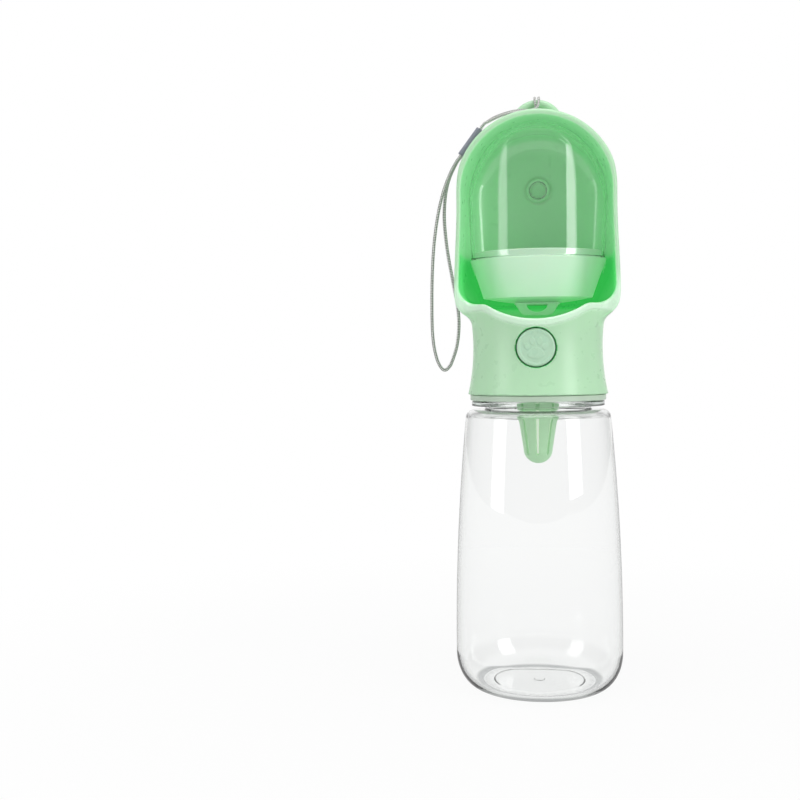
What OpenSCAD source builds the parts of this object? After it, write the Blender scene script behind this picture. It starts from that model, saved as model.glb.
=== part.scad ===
// Travel water bottle for a dog, with a press-button valve, a hooded drinking trough,
// a food cup stored in the hood, a filter basket and a wrist lanyard.
// Millimetres. The origin is at the middle of the bottle's base ring, +Z is up and
// the button faces -Y.

/* [Bottle] */
// Radius of the bottle at its widest
bottle_r = 37; // [35:0.5:42]
// Height of the widest part above the base
belly_z = 22; // [18:1:30]
// Radius of the long arc that draws the wall in towards the shoulder
taper_arc_r = 1000; // [800:10:1400]
// Height of the flat shoulder above the base
shoulder_z = 124.3; // [110:0.1:150]
// Rounding between the wall and the shoulder
shoulder_round = 3.6; // [2:0.1:5]
// Width of the rounding between the base ring and the wall
base_round_w = 11.5; // [8:0.5:13]
// Height of the rounding between the base ring and the wall
base_round_h = 16; // [12:0.5:18]
// Thickness of the bottle's wall
bottle_wall = 1.2; // [1:0.1:2.2]
// Thickness of the bottle's base
base_t = 2; // [1.8:0.1:5]
// Radius of the recess under the base
punt_r = 20; // [14:0.5:23]
// Depth of the recess under the base
punt_depth = 0.7; // [0.4:0.1:0.8]
// Radius of the small moulding mark in the middle of the recess
gate_r = 2.2; // [1:0.1:4]

/* [Bottle finish] */
// Outer radius of the neck below the thread
neck_r = 23.6; // [22:0.1:25]
// Thickness of the neck
neck_wall = 2.2; // [1.6:0.1:3]
// Length of neck between the shoulder and the flange
neck_h = 1.6; // [1:0.1:3]
// Thickness of the flange under the cap
flange_t = 2.2; // [1.5:0.1:3]
// Height of the finish from the top of the flange to the mouth
finish_h = 11.3; // [11:0.1:13]
// Lead of the screw thread in one turn
thread_pitch = 5; // [4.6:0.1:5.2]
// How far a thread ridge stands out
thread_h = 1.4; // [1.1:0.1:1.6]
// Width of a thread ridge at its foot
thread_foot = 2; // [1.6:0.1:2.1]
// Width of a thread ridge at its crest
thread_crest = 1; // [0.8:0.1:1.2]
// Turns of thread on the bottle
bottle_turns = 1.25; // [1:0.05:1.3]
// Turns of thread in the cap
cap_turns = 1; // [0.75:0.05:1]
// Radial gap between a thread crest and the wall that it faces
thread_gap = 0.6; // [0.5:0.05:0.8]
// Axial gap between the two thread ridges
thread_axial_gap = 0.35; // [0.3:0.05:0.5]

/* [Cap insert] */
// Gap between the bottle's flange and the cap's ring
ring_gap = 0.3; // [0.2:0.05:0.6]
// Thickness of the ring below the collar
ring_t = 2.4; // [1.6:0.1:3]
// Gap between the ring and the collar
collar_gap = 0.2; // [0.1:0.05:0.4]
// Wall of the cap insert
cap_wall = 1.6; // [1.2:0.1:2]
// Thickness of the cap insert's top plate
cap_plate_t = 1.8; // [1.4:0.1:2]
// Thickness of the gasket on the bottle's mouth
gasket_t = 1.2; // [1:0.1:1.5]
// Radial clearance of a pressed or snapped joint
press_gap = 0.1; // [0.05:0.01:0.15]
// How far the snap bead stands out of the cap insert
bead_h = 0.35; // [0.2:0.05:0.5]

/* [Collar] */
// Skin between the cap insert and the waist of the collar
collar_skin = 1.3; // [1:0.1:2]
// Wall of the collar at its waist
collar_wall = 2.2; // [1.8:0.1:2.6]
// Radius of the arc that draws the collar in to its waist
collar_arc_r = 92; // [80:1:130]
// Height of the waist above the collar's lower edge
waist_rise = 21; // [18:0.5:22]

/* [Button] */
// Radius of the push button
button_r = 8.1; // [7:0.1:8.5]
// Gap round the push button
button_gap = 0.6; // [0.4:0.05:0.8]
// Height of the button's axis above the collar's lower edge
button_rise = 20.4; // [20:0.1:21.5]
// Thickness of the button's disc
button_t = 2.4; // [2:0.1:3]
// How far the button's face stands out of the waist
button_proud = 0.3; // [0:0.1:1]
// Travel of the button
button_travel = 2.5; // [1.5:0.1:2.6]
// Radius of the stem behind the disc
stem_r = 3.2; // [2.6:0.1:4]
// Length of the stem behind the disc
stem_l = 8; // [6:0.1:8.2]

/* [Valve] */
// Radius of the valve chamber
chamber_r = 4.8; // [4.4:0.1:5.2]
// Wall of the valve chamber
chamber_wall = 1.6; // [1.2:0.1:1.8]
// Where the chamber begins behind the front wall
chamber_front_y = -12; // [-13:0.1:-11.5]
// Thickness of the chamber's front wall
front_wall = 2; // [1.8:0.1:2.4]
// Front face of the valve seat
seat_y = -4; // [-4.4:0.1:-3.6]
// Thickness of the valve seat
seat_t = 2; // [1.5:0.1:2.2]
// Bore of the valve seat
seat_bore_r = 2.6; // [2.3:0.1:3]
// Radius of the valve plug
plug_r = 4; // [3.6:0.1:4.2]
// Thickness of the valve plug
plug_t = 2.6; // [2:0.1:3]
// Radius of the valve rod
rod_r = 1.5; // [1.2:0.1:1.6]
// Radial clearance of the rod in its sliding bore
rod_gap = 0.06; // [0.03:0.01:0.1]
// Thickness of the washer that holds the plug on the rod
washer_t = 0.8; // [0.6:0.1:1.2]
// Thickness of the rod's seal
rod_seal_t = 1; // [0.8:0.1:1.2]
// Bore of the water inlet
inlet_r = 2.2; // [1.8:0.1:2.4]
// Middle of the water inlet
inlet_y = 3; // [2.8:0.1:3.2]
// Inner face of the chamber's end plug
end_plug_y = 11; // [10:0.1:12]
// Thickness of the flange of the end plug
end_flange_t = 1.6; // [1.2:0.1:2]
// Length of the end plug inside the chamber
end_plug_l = 4; // [3.5:0.1:5]
// Wire radius of the button spring
wire_r = 0.35; // [0.25:0.01:0.4]
// Turns of the button spring
spring_turns = 5; // [4:1:6]
// Middle of the outlet duct
outlet_y = -8; // [-8.4:0.1:-7.8]
// Outer radius of the outlet duct
outlet_r = 3.8; // [3.4:0.1:4]
// Wall of the outlet duct
outlet_wall = 1.2; // [1:0.1:1.4]
// Thickness of the grommet round the outlet duct
grommet_t = 1.2; // [0.8:0.1:1.4]
// Thickness of the valve housing's base plate
plate_t = 1.6; // [1.4:0.1:1.8]
// Flat cut on the front of the base plate
plate_front_y = -18.6; // [-20:0.1:-16]

/* [Filter] */
// Outer radius of the spigot that the filter hangs on
spigot_r = 7.7; // [7.2:0.1:8]
// Bore of the spigot
spigot_bore_r = 5.5; // [5.3:0.1:5.8]
// Length of the spigot under the plate
spigot_l = 10; // [9:0.1:10.5]
// Outer radius of the filter's collar
filter_r = 9.4; // [9:0.1:10.5]
// Length of the filter's collar
filter_collar_l = 15.8; // [14:0.1:17]
// Length of the filter basket below the collar
basket_l = 24; // [20:0.5:40]
// Radius of the basket where its rounded end begins
basket_end_r = 6.5; // [5.5:0.1:7.5]
// Wall of the basket
basket_wall = 1.2; // [1:0.1:1.4]
// Number of slots round the basket
slots = 8; // [6:1:10]
// Width of a slot
slot_w = 1.3; // [0.8:0.1:1.8]
// Travel when the filter is pulled off
filter_travel = 12; // [11:0.5:14]

/* [Hood] */
// How much wider than the waist the hood is on each side
hood_overhang = 6.5; // [5.5:0.1:8]
// Wall of the hood
hood_wall = 2.8; // [2:0.1:3.2]
// Where the open front of the hood stands
hood_front_y = -11.5; // [-14:0.1:-11]
// How far the hood's back stands out behind the waist
hood_back_out = 0.6; // [0:0.1:4]
// Rounding of the hood's back edges
hood_back_round = 15; // [10:0.5:18]
// Rounding of the hood's lower outer corners
hood_corner = 12; // [9:0.5:12.5]
// Height of the straight sides above the inner corners
hood_straight = 49.3; // [45:0.1:60]
// Thickness of the trough's floor over the button
floor_t = 1.3; // [1:0.1:2]
// Height of the front lip above the trough's floor
lip_h = 2.2; // [2:0.1:5]
// Height of the inner corners above the front lip
corner_rise = 7.2; // [6:0.1:9]
// Radius of the dip in the front lip
dip_r = 38.5; // [34:0.5:42]
// Radius of the inner corners
inner_corner = 8; // [6:0.5:10]
// How far the bowl's wall stands inside the waist
bowl_inset = 1.4; // [1:0.1:2.4]
// Rounding at the foot of the bowl
bowl_round = 1.2; // [0.6:0.1:1.8]
// Middle of the lanyard lug behind the axis
lug_y = 9; // [5:0.5:12]
// Radius of the lug's ring
lug_ring_r = 10.2; // [9:0.1:11]
// Radius of the lug's round section
lug_r = 1.8; // [1.4:0.1:2.2]
// How far the lug's ring centre lies below the top of the hood
lug_sink = 4.2; // [3.5:0.1:5]

/* [Food cup] */
// Gap between the cup and the hood's sides
cup_side_gap = 0.6; // [0.4:0.1:1]
// Gap between the cup and the top of the hood
cup_top_gap = 1; // [0.8:0.1:4]
// Gap between the cup and the hood's back
cup_back_gap = 2.8; // [2:0.1:4]
// Depth of the cup from front to back
cup_depth = 31.6; // [28:0.1:32]
// Radius of the cup's round front
cup_front_r = 34; // [33:0.5:45]
// Radius of the cup's back corners
cup_corner = 9; // [8:0.5:9.5]
// Height of the cup's sides below its arch
cup_skirt = 27.5; // [20:0.1:28]
// How much narrower the cup is on each side at its rim
cup_taper = 1.4; // [0:0.1:2]
// Wall of the cup
cup_wall = 1.6; // [1.2:0.1:2]
// Travel when the cup is drawn out of the hood
cup_travel = 60; // [56:1:80]
// Radius of the stud on the cup's back
stud_r = 3.8; // [3:0.1:5]
// Clearance of the stud in its socket
stud_gap = 0.1; // [0.05:0.01:0.2]
// Wall of the socket
socket_wall = 1.7; // [1.2:0.1:2.5]
// Height of the stud above the centre of the cup's arch
stud_rise = 4.8; // [0:0.1:12]

/* [Cup lid] */
// Gap between the cup's rim and the lid
lid_gap = 0.3; // [0.2:0.05:0.5]
// Height of the lid below the cup's rim
lid_h = 20.6; // [18:0.1:22]
// How much narrower the lid is on each side at the foot of its slope
lid_taper = 6.4; // [4:0.1:8]
// How much shallower the lid is at front and back at the foot of its slope
lid_depth_taper = 3; // [2:0.1:5]
// Radius of the lid's back corners, before the slope draws them in
lid_corner = 16; // [15.5:0.5:16]
// Height of the rounded belly under the slope
lid_belly = 2.8; // [2:0.1:4]
// Wall of the lid
lid_wall = 1.8; // [1.4:0.1:2.4]
// Height of the lid's plug inside the cup
lid_plug_h = 3.2; // [2.4:0.1:3.6]
// Thickness of the seal round the plug
seal_t = 0.9; // [0.6:0.1:1.2]
// Gap round the seal
seal_gap = 0.2; // [0.1:0.05:0.3]
// Travel when the lid is pulled off
lid_travel = 3.9; // [3.6:0.1:3.9]
// Width of the pull tab at its top
tab_w = 20; // [16:0.5:24]
// Width of the pull tab at its foot
tab_foot_w = 13; // [12:0.5:16]
// How far the pull tab hangs below the lid
tab_drop = 5.6; // [5.2:0.1:5.8]
// Thickness of the pull tab
tab_t = 1.4; // [1:0.1:1.8]
// Width of the half-round finger hole in the pull tab
tab_hole_w = 9.2; // [7:0.2:10]
// Height of the finger hole
tab_hole_h = 2.8; // [2:0.1:3]

/* [Lanyard] */
// Radius of the thin string
string_r = 0.6; // [0.4:0.05:0.6]
// Radius of the braided wrist cord
cord_r = 0.8; // [0.5:0.05:0.8]
// Radius of the ferrule
ferrule_r = 1.8; // [1.7:0.05:2]

/* [Hidden] */
$fn = 64;
eps = 0.01;

// Heights up the bottle's finish and the cap
flange_z = shoulder_z + neck_h;
flange_top = flange_z + flange_t;
mouth_z = flange_top + finish_h;
ring_z = flange_top + ring_gap;
plate_z = mouth_z + gasket_t;
cap_top = plate_z + cap_plate_t;
bead_z = cap_top - 5;
collar_z = ring_z + ring_t + collar_gap;

// Radii from the neck outwards
crest_r = neck_r + thread_h;
cap_bore_r = crest_r + thread_gap;
cap_r = cap_bore_r + cap_wall;
shell_bore_r = cap_r + press_gap;
waist_r = shell_bore_r + collar_skin;
inside_r = waist_r - collar_wall;
collar_foot_r = waist_r + collar_arc_r - sqrt(pow(collar_arc_r, 2) - pow(waist_rise, 2));
ring_r = collar_foot_r - 1;
flange_r = ring_r - 0.6;
mouth_r = neck_r - neck_wall;

// Heights up the head
waist_z = collar_z + waist_rise;
button_z = collar_z + button_rise;
hole_r = button_r + button_gap;
floor_under = button_z + hole_r - 0.4;
floor_z = button_z + hole_r + floor_t;
lip_z = floor_z + lip_h;
corner_z = lip_z + corner_rise;
hood_z = lip_z + 0.4;
arch_z = corner_z + hood_straight;
ledge_z = cap_top + plate_t;

// Plan of the hood
hood_r = waist_r + hood_overhang;
hood_in_r = hood_r - hood_wall;
hood_back_y = waist_r + hood_back_out;
hood_in_back_y = hood_back_y - hood_wall;
bowl_r = waist_r - bowl_inset;

// Groove for the inlet's seal in the valve housing's plate
seal_groove_in = spigot_bore_r + 1.1;
seal_groove_out = seal_groove_in + 1.8;
seal_groove_h = 0.9;

// Food cup and lid
cup_r = hood_in_r - cup_side_gap;
cup_back_y = hood_in_back_y - cup_back_gap;
cup_front_y = cup_back_y - cup_depth;
cup_arch_z = arch_z + hood_in_r - cup_top_gap - cup_r;
rim_z = cup_arch_z - cup_skirt;
rim_w = cup_r - cup_taper;
lid_top = rim_z - lid_gap;
lid_bottom = lid_top - lid_h;
lid_edge = 0.4;
lid_narrow = cup_taper - lid_edge - 0.2;
lid_front_foot = cup_front_y + lid_edge + lid_depth_taper;
plug_inset = cup_wall + seal_gap + seal_t;
stud_z = cup_arch_z + stud_rise;

// Valve, along the button's axis
button_face_y = -waist_r - button_proud;
disc_back_y = button_face_y + button_t;
stem_end_y = disc_back_y + stem_l;
rod_front_y = stem_end_y - 6;
rod_fit = 0.02;
plug_y = seat_y + seat_t;
washer_y = plug_y + plug_t;
rod_end_y = washer_y + washer_t + 1;
spring_y = washer_y + washer_t;
spring_r = plug_r - wire_r - 0.3;
tube_r = chamber_r + chamber_wall;
tube_end_y = end_plug_y + end_plug_l;
duct_flange_z = floor_under - grommet_t;
duct_shoulder_r = outlet_r + grommet_t + 0.6;

// Filter
filter_bore_r = spigot_r + press_gap;
filter_top = plate_z - 0.4;
filter_foot = filter_top - filter_collar_l;
basket_top = filter_foot - 0.4;
basket_z = basket_top - basket_l;
basket_neck_r = filter_bore_r - press_gap;
basket_neck_h = 5.4;
slot_foot_z = basket_z + 4.2;
slot_top_z = basket_top - 1.8;
core_gap = 0.12;

// Screw thread: middle of the bottle's ridge at its start, and the cap's ridge below it
thread_z = flange_top + 1.8 + thread_foot / 2;
cap_thread_drop = (thread_foot + thread_crest) / 2 + thread_axial_gap;

function polar(r, a, z) = [r * cos(a), r * sin(a), z];

function fade(i, n, m) = min(1, min(i, n - i) / m);

// A helical ridge from radius foot_r to tip_r; foot_r lies inside the wall that carries it
module thread_ridge(foot_r, tip_r, z0, turns, start) {
  steps = 32;
  n = round(steps * turns);
  fade_steps = 4;
  points = [
    for (i = [0:n])
      let (
        a = start + 360 * i / steps,
        z = z0 + thread_pitch * i / steps,
        tip = foot_r + (tip_r - foot_r) * max(0.35, fade(i, n, fade_steps))
      )
      each [
        polar(foot_r, a, z - thread_foot / 2),
        polar(tip, a, z - thread_crest / 2),
        polar(tip, a, z + thread_crest / 2),
        polar(foot_r, a, z + thread_foot / 2)
      ]
  ];
  sides = [
    for (i = [0:n - 1], j = [0:3])
      let (p = 4 * i + j, q = 4 * i + (j + 1) % 4)
      each [[p, q, q + 4], [p, q + 4, p + 4]]
  ];
  ends = [[0, 2, 1], [0, 3, 2], [4 * n, 4 * n + 1, 4 * n + 2], [4 * n, 4 * n + 2, 4 * n + 3]];
  faces = concat(sides, ends);
  polyhedron(points, tip_r < foot_r ? [for (f = faces) [f[2], f[1], f[0]]] : faces);
}

// A tube of 8 sides swept along a route, its rings turned as little as possible
function unit(v) = v / norm(v);

function tangent(p, i) = unit(p[min(i + 1, len(p) - 1)] - p[max(i - 1, 0)]);

function square_to(v, t) = unit(v - (v * t) * t);

function frames(p, i, u) =
  i == len(p) ? u : frames(p, i + 1, concat(u, [square_to(u[i - 1], tangent(p, i))]));

module swept_tube(route, r, sides) {
  n = len(route) - 1;
  up = frames(route, 1, [square_to([0, 1, 0], tangent(route, 0))]);
  points = [
    for (i = [0:n])
      let (side = cross(tangent(route, i), up[i]))
      for (k = [0:sides - 1])
        let (a = 360 * (k + 0.5) / sides)
        route[i] + r * (cos(a) * up[i] + sin(a) * side)
  ];
  walls = [
    for (i = [0:n - 1], k = [0:sides - 1])
      let (p = sides * i + k, q = sides * i + (k + 1) % sides)
      each [[p, q + sides, q], [p, p + sides, q + sides]]
  ];
  ends = [
    for (k = [1:sides - 2])
      each [[0, k, k + 1], [sides * n, sides * n + k + 1, sides * n + k]]
  ];
  polyhedron(points, concat(walls, ends));
}

// Cylinder along +Y from y0 to y1, on the button's axis
module along_y(r, y0, y1) {
  translate([0, y1, button_z])
    rotate([90, 0, 0])
      cylinder(r = r, h = y1 - y0);
}

module ring_y(r_out, r_in, y0, y1) {
  difference() {
    along_y(r_out, y0, y1);
    along_y(r_in, y0 - 1, y1 + 1);
  }
}

module ring_z(r_out, r_in, z0, z1) {
  translate([0, 0, z0])
    difference() {
      cylinder(r = r_out, h = z1 - z0);
      translate([0, 0, -1])
        cylinder(r = r_in, h = z1 - z0 + 2);
    }
}

module torus_y(mid_r, r, y) {
  translate([0, y, button_z])
    rotate([90, 0, 0])
      rotate_extrude()
        translate([mid_r, 0])
          circle(r);
}

// Outline of the bottle's wall, from the belly up to the shoulder
function wall_r(z) = bottle_r - pow(z - belly_z, 2) / (2 * taper_arc_r);

module bottle_profile() {
  round_z = shoulder_z - shoulder_round;
  shoulder_r = wall_r(round_z) - shoulder_round;
  base_r = bottle_r - base_round_w;
  outer = concat(
    [for (a = [0:10:90]) [base_r + base_round_w * sin(a), base_round_h * (1 - cos(a))]],
    [for (k = [0:12]) let (z = belly_z + (round_z - belly_z) * k / 12) [wall_r(z), z]],
    [for (a = [15:15:90]) [shoulder_r + shoulder_round * cos(a), round_z + shoulder_round * sin(a)]],
    [[neck_r, shoulder_z], [neck_r, flange_z], [flange_r, flange_z], [flange_r, flange_top]],
    [[neck_r, flange_top], [neck_r, mouth_z]]
  );
  in_round = shoulder_round - bottle_wall / 2;
  in_top = shoulder_z - bottle_wall;
  in_round_z = in_top - in_round;
  in_shoulder_r = wall_r(in_round_z) - bottle_wall - in_round;
  in_w = base_round_w - bottle_wall;
  in_h = base_round_h - base_t / 2;
  inner = concat(
    [[mouth_r, mouth_z], [mouth_r, in_top]],
    [for (a = [90:-15:0]) [in_shoulder_r + in_round * cos(a), in_round_z + in_round * sin(a)]],
    [
      for (k = [11:-1:0])
        let (z = belly_z + (in_round_z - belly_z) * k / 12)
        [wall_r(z) - bottle_wall, z]
    ],
    [for (a = [90:-10:0]) [base_r + in_w * sin(a), base_t + in_h * (1 - cos(a))]],
    [[0, base_t]]
  );
  base = [[0, punt_depth], [punt_r, punt_depth], [punt_r + punt_depth, 0]];
  polygon(concat(base, outer, inner));
}

module bottle_body() {
  color([0.93, 0.96, 0.96, 0.35])
    union() {
      rotate_extrude($fn = 128)
        bottle_profile();
      translate([0, 0, punt_depth / 2])
        cylinder(r = gate_r, h = punt_depth / 2 + eps);
      thread_ridge(neck_r - 0.4, crest_r, thread_z, bottle_turns, 0);
    }
}

module neck_gasket() {
  color("white")
    ring_z(crest_r - 0.4, mouth_r - 0.8, mouth_z, plate_z);
}

module collar_solid() {
  rotate_extrude($fn = 128)
    difference() {
      translate([0, collar_z])
        square([collar_foot_r, corner_z + 1 - collar_z]);
      translate([waist_r + collar_arc_r, waist_z])
        circle(collar_arc_r, $fn = 256);
    }
}

// Plan of the hood, open to the front
module hood_plan(half, front, back, corner) {
  translate([-half, front])
    square([2 * half, back - corner - front]);
  translate([corner - half, front])
    square([2 * (half - corner), back - front]);
  for (side = [-1, 1])
    translate([side * (half - corner), back - corner])
      circle(corner);
}

// Arch over straight sides: a plan turned about the arch's axis, and drawn down to the foot
module arched_form(crown, foot) {
  translate([0, 0, crown])
    rotate([90, 0, 0])
      rotate_extrude(angle = 180, $fn = 128)
        intersection() {
          mirror([0, 1])
            children();
          translate([0, -100])
            square([100, 200]);
        }
  translate([0, 0, foot])
    linear_extrude(crown - foot)
      children();
}

// Front view of straight sides that round in at the foot
module side_view(half, foot, corner) {
  translate([-half, foot + corner])
    square([2 * half, arch_z + half + 10 - foot - corner]);
  translate([corner - half, foot])
    square([2 * (half - corner), corner + 1]);
  for (side = [-1, 1])
    translate([side * (half - corner), foot + corner])
      circle(corner);
}

// A flat shape drawn in x and z, spread from y0 to y1
module spread_y(y0, y1) {
  translate([0, y1, 0])
    rotate([90, 0, 0])
      linear_extrude(y1 - y0)
        children();
}

module hood_solid() {
  intersection() {
    arched_form(arch_z, hood_z)
      hood_plan(hood_r, hood_front_y, hood_back_y, hood_back_round);
    spread_y(hood_front_y - 1, hood_back_y + 1)
      side_view(hood_r + eps, hood_z, hood_corner);
  }
}

module hood_hollow() {
  intersection() {
    arched_form(arch_z, corner_z)
      hood_plan(hood_in_r, hood_front_y - 1, hood_in_back_y, hood_back_round - hood_wall);
    spread_y(hood_front_y - 2, hood_back_y + 1)
      side_view(hood_in_r + eps, corner_z, inner_corner);
  }
}

// What is cut away in front of the hood: the corners and the dip in the lip
module front_cut() {
  spread_y(-bottle_r - 10, hood_front_y + 0.5)
    side_view(hood_in_r, corner_z, inner_corner);
  dip_z = lip_z + dip_r;
  dip_w = sqrt(dip_r * dip_r - pow(dip_r - corner_rise, 2));
  spread_y(-bottle_r - 10, 0)
    intersection() {
      translate([0, dip_z])
        circle(dip_r, $fn = 128);
      translate([-dip_w, lip_z - 1])
        square([2 * dip_w, corner_rise + 2]);
    }
}

module bowl() {
  rotate_extrude($fn = 128) {
    translate([0, floor_z])
      square([bowl_r - bowl_round, corner_z + 2 - floor_z]);
    translate([0, floor_z + bowl_round])
      square([bowl_r, corner_z + 2 - floor_z - bowl_round]);
    translate([bowl_r - bowl_round, floor_z + bowl_round])
      circle(bowl_round, $fn = 32);
  }
}

module lug() {
  translate([0, lug_y, arch_z + hood_r - lug_sink])
    rotate([90, 0, 0])
      rotate_extrude(angle = 180)
        translate([lug_ring_r, 0])
          circle(lug_r, $fn = 32);
}

// Inside of the collar: the bore for the cap insert and the room for the valve
module collar_hollow() {
  translate([0, 0, collar_z - 1])
    cylinder(r = shell_bore_r, h = ledge_z - collar_z + 1);
  translate([0, 0, ledge_z - 1])
    cylinder(r = inside_r, h = floor_under - ledge_z + 1);
  translate([0, 0, bead_z - press_gap])
    cylinder(r = shell_bore_r + bead_h, h = 1.2 + 2 * press_gap);
  along_y(hole_r, -bottle_r, 2 - inside_r);
  translate([0, outlet_y, floor_under - 1])
    cylinder(r = outlet_r + press_gap, h = floor_t + 2);
}

module cup_socket() {
  front = cup_back_y + 0.4;
  translate([0, hood_in_back_y + eps, stud_z])
    rotate([90, 0, 0])
      difference() {
        cylinder(r = stud_r + stud_gap + socket_wall, h = hood_in_back_y - front);
        translate([0, 0, eps])
          cylinder(r = stud_r + stud_gap, h = 10);
      }
}

module head_shell() {
  color([0.74, 0.91, 0.75])
    union() {
      difference() {
        union() {
          collar_solid();
          hood_solid();
          lug();
        }
        hood_hollow();
        front_cut();
        bowl();
        collar_hollow();
      }
      cup_socket();
    }
}

module inner_cap() {
  color([0.78, 0.85, 0.77])
    union() {
      rotate_extrude($fn = 128)
        polygon(
          [
            [cap_bore_r, ring_z], [ring_r, ring_z], [ring_r, ring_z + ring_t],
            [cap_r, ring_z + ring_t], [cap_r, bead_z], [cap_r + bead_h, bead_z + 0.4],
            [cap_r + bead_h, bead_z + 0.8], [cap_r, bead_z + 1.2], [cap_r, cap_top],
            [spigot_bore_r, cap_top], [spigot_bore_r, plate_z - spigot_l],
            [spigot_r, plate_z - spigot_l], [spigot_r, plate_z], [cap_bore_r, plate_z]
          ]
        );
      thread_ridge(
        cap_bore_r + 0.4, cap_bore_r - thread_h, thread_z + thread_pitch / 4 - cap_thread_drop,
        cap_turns, 90
      );
    }
}

module inlet_seal() {
  color("whitesmoke")
    ring_z(seal_groove_out - 0.05, seal_groove_in + 0.05, cap_top, cap_top + seal_groove_h);
}

module valve_housing() {
  seal_mid = chamber_front_y - front_wall / 2;
  web_w = 10;
  color("honeydew")
    difference() {
      union() {
        intersection() {
          translate([0, 0, cap_top])
            cylinder(r = shell_bore_r - press_gap, h = plate_t);
          translate([-50, plate_front_y, cap_top - 1])
            cube([100, 100, 10]);
        }
        translate([-web_w / 2, chamber_front_y - front_wall, cap_top + plate_t - 0.5])
          cube([web_w, tube_end_y - chamber_front_y + front_wall, button_z - cap_top - plate_t]);
        along_y(tube_r, chamber_front_y - front_wall, tube_end_y);
        translate([0, outlet_y, button_z])
          cylinder(r = outlet_r, h = floor_z - button_z);
        translate([0, outlet_y, button_z])
          cylinder(r = duct_shoulder_r, h = duct_flange_z - button_z);
      }
      along_y(chamber_r, chamber_front_y, tube_end_y + 1);
      along_y(rod_r + rod_gap, chamber_front_y - front_wall - 1, chamber_front_y + 1);
      along_y(
        rod_r + rod_gap + rod_seal_t + 0.05, seal_mid - rod_seal_t / 2 - 0.05,
        seal_mid + rod_seal_t / 2 + 0.05
      );
      translate([0, outlet_y, button_z])
        cylinder(r = outlet_r - outlet_wall, h = floor_z - button_z + 1);
      translate([0, 0, cap_top - 1])
        cylinder(r = spigot_bore_r, h = 1 + seal_groove_h);
      translate([0, inlet_y, cap_top])
        cylinder(r = inlet_r, h = button_z - cap_top);
      ring_z(seal_groove_out, seal_groove_in, cap_top - 1, cap_top + seal_groove_h);
    }
}

module valve_seat() {
  color("gainsboro")
    ring_y(chamber_r - press_gap / 2, seat_bore_r, seat_y, seat_y + seat_t);
}

module outlet_grommet() {
  color("whitesmoke")
    translate([0, outlet_y, 0])
      ring_z(duct_shoulder_r, outlet_r + press_gap / 2, duct_flange_z, floor_under);
}

module rod_seal() {
  color("dimgray")
    torus_y(rod_r + rod_gap + rod_seal_t / 2, rod_seal_t / 2, chamber_front_y - front_wall / 2);
}

module chamber_end_plug() {
  groove_y = end_plug_y + end_plug_l / 2;
  color("honeydew")
    difference() {
      union() {
        along_y(chamber_r - press_gap / 2, end_plug_y, tube_end_y);
        along_y(tube_r, tube_end_y, tube_end_y + end_flange_t);
      }
      ring_y(chamber_r + 1, chamber_r - press_gap / 2 - 0.9, groove_y - 0.55, groove_y + 0.55);
    }
}

module end_plug_seal() {
  groove_y = end_plug_y + end_plug_l / 2;
  color("dimgray")
    torus_y(chamber_r - press_gap / 2 - 0.45, 0.45, groove_y);
}

module button_cap() {
  rim = 0.6;
  color([0.76, 0.88, 0.78])
    difference() {
      union() {
        along_y(button_r, button_face_y + rim, disc_back_y);
        translate([0, button_face_y + rim, button_z])
          rotate([90, 0, 0])
            cylinder(r1 = button_r, r2 = button_r - rim, h = rim);
        along_y(stem_r, disc_back_y - eps, stem_end_y);
      }
      along_y(rod_r + rod_fit, rod_front_y, stem_end_y + 1);
    }
}

module valve_rod() {
  color("silver")
    along_y(rod_r, rod_front_y, rod_end_y);
}

module valve_plug() {
  color("dimgray")
    difference() {
      union() {
        along_y(plug_r, plug_y, washer_y);
        along_y(seat_bore_r - 0.3, plug_y - 0.6, plug_y + eps);
      }
      along_y(rod_r + rod_fit, plug_y - 1, washer_y + 1);
    }
}

module plug_retainer() {
  color("silver")
    ring_y(plug_r - 0.2, rod_r + rod_fit, washer_y, spring_y);
}

// Coil between the washer and the end plug, with half a turn lying flat at each end
module button_spring() {
  room = end_plug_y - spring_y;
  steps = 12 * spring_turns;
  route = [
    for (i = [0:steps])
      let (
        a = 360 * i / 12,
        rise = min(1, max(0, (i - 6) / (steps - 12)))
      )
      [
        spring_r * cos(a),
        spring_y + wire_r + 0.02 + (room - 2 * wire_r - 0.04) * rise,
        button_z + spring_r * sin(a)
      ]
  ];
  color("silver")
    swept_tube(route, wire_r, 6);
}

// Radius of the basket at height z, below its ring and above its rounded end
function basket_r(z) =
  basket_end_r + (filter_r - 0.1 - basket_end_r) * (z - basket_z - basket_end_r)
    / (basket_top - basket_z - basket_end_r);

module filter_slots(z0, z1) {
  for (i = [0:slots - 1])
    rotate([0, 0, 360 * i / slots - 90])
      translate([spigot_bore_r - 4, -slot_w / 2, z0])
        cube([filter_r, slot_w, z1 - z0]);
}

module filter_collar() {
  color([0.66, 0.84, 0.66])
    difference() {
      ring_z(filter_r, filter_bore_r, filter_foot, filter_top);
      filter_slots(filter_foot - 1, filter_foot + 4.2);
    }
}

// Half outline of the basket, drawn in by inset, up to height top
module basket_outline(inset, top) {
  bottom = basket_z + basket_end_r;
  r = basket_end_r - inset;
  polygon(
    concat(
      [for (a = [0:10:90]) [r * sin(a), bottom - r * cos(a)]],
      [[basket_r(top) - inset, top], [0, top]]
    )
  );
}

module filter_basket() {
  color([0.66, 0.84, 0.66])
    difference() {
      union() {
        rotate_extrude()
          basket_outline(0, basket_top);
        translate([0, 0, basket_top - eps])
          cylinder(r = basket_neck_r, h = basket_neck_h);
      }
      rotate_extrude()
        basket_outline(basket_wall, basket_top - basket_wall);
      translate([0, 0, basket_top - 3])
        cylinder(r = basket_neck_r - basket_wall, h = basket_neck_h + 4);
      filter_slots(slot_foot_z, slot_top_z);
    }
}

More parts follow.
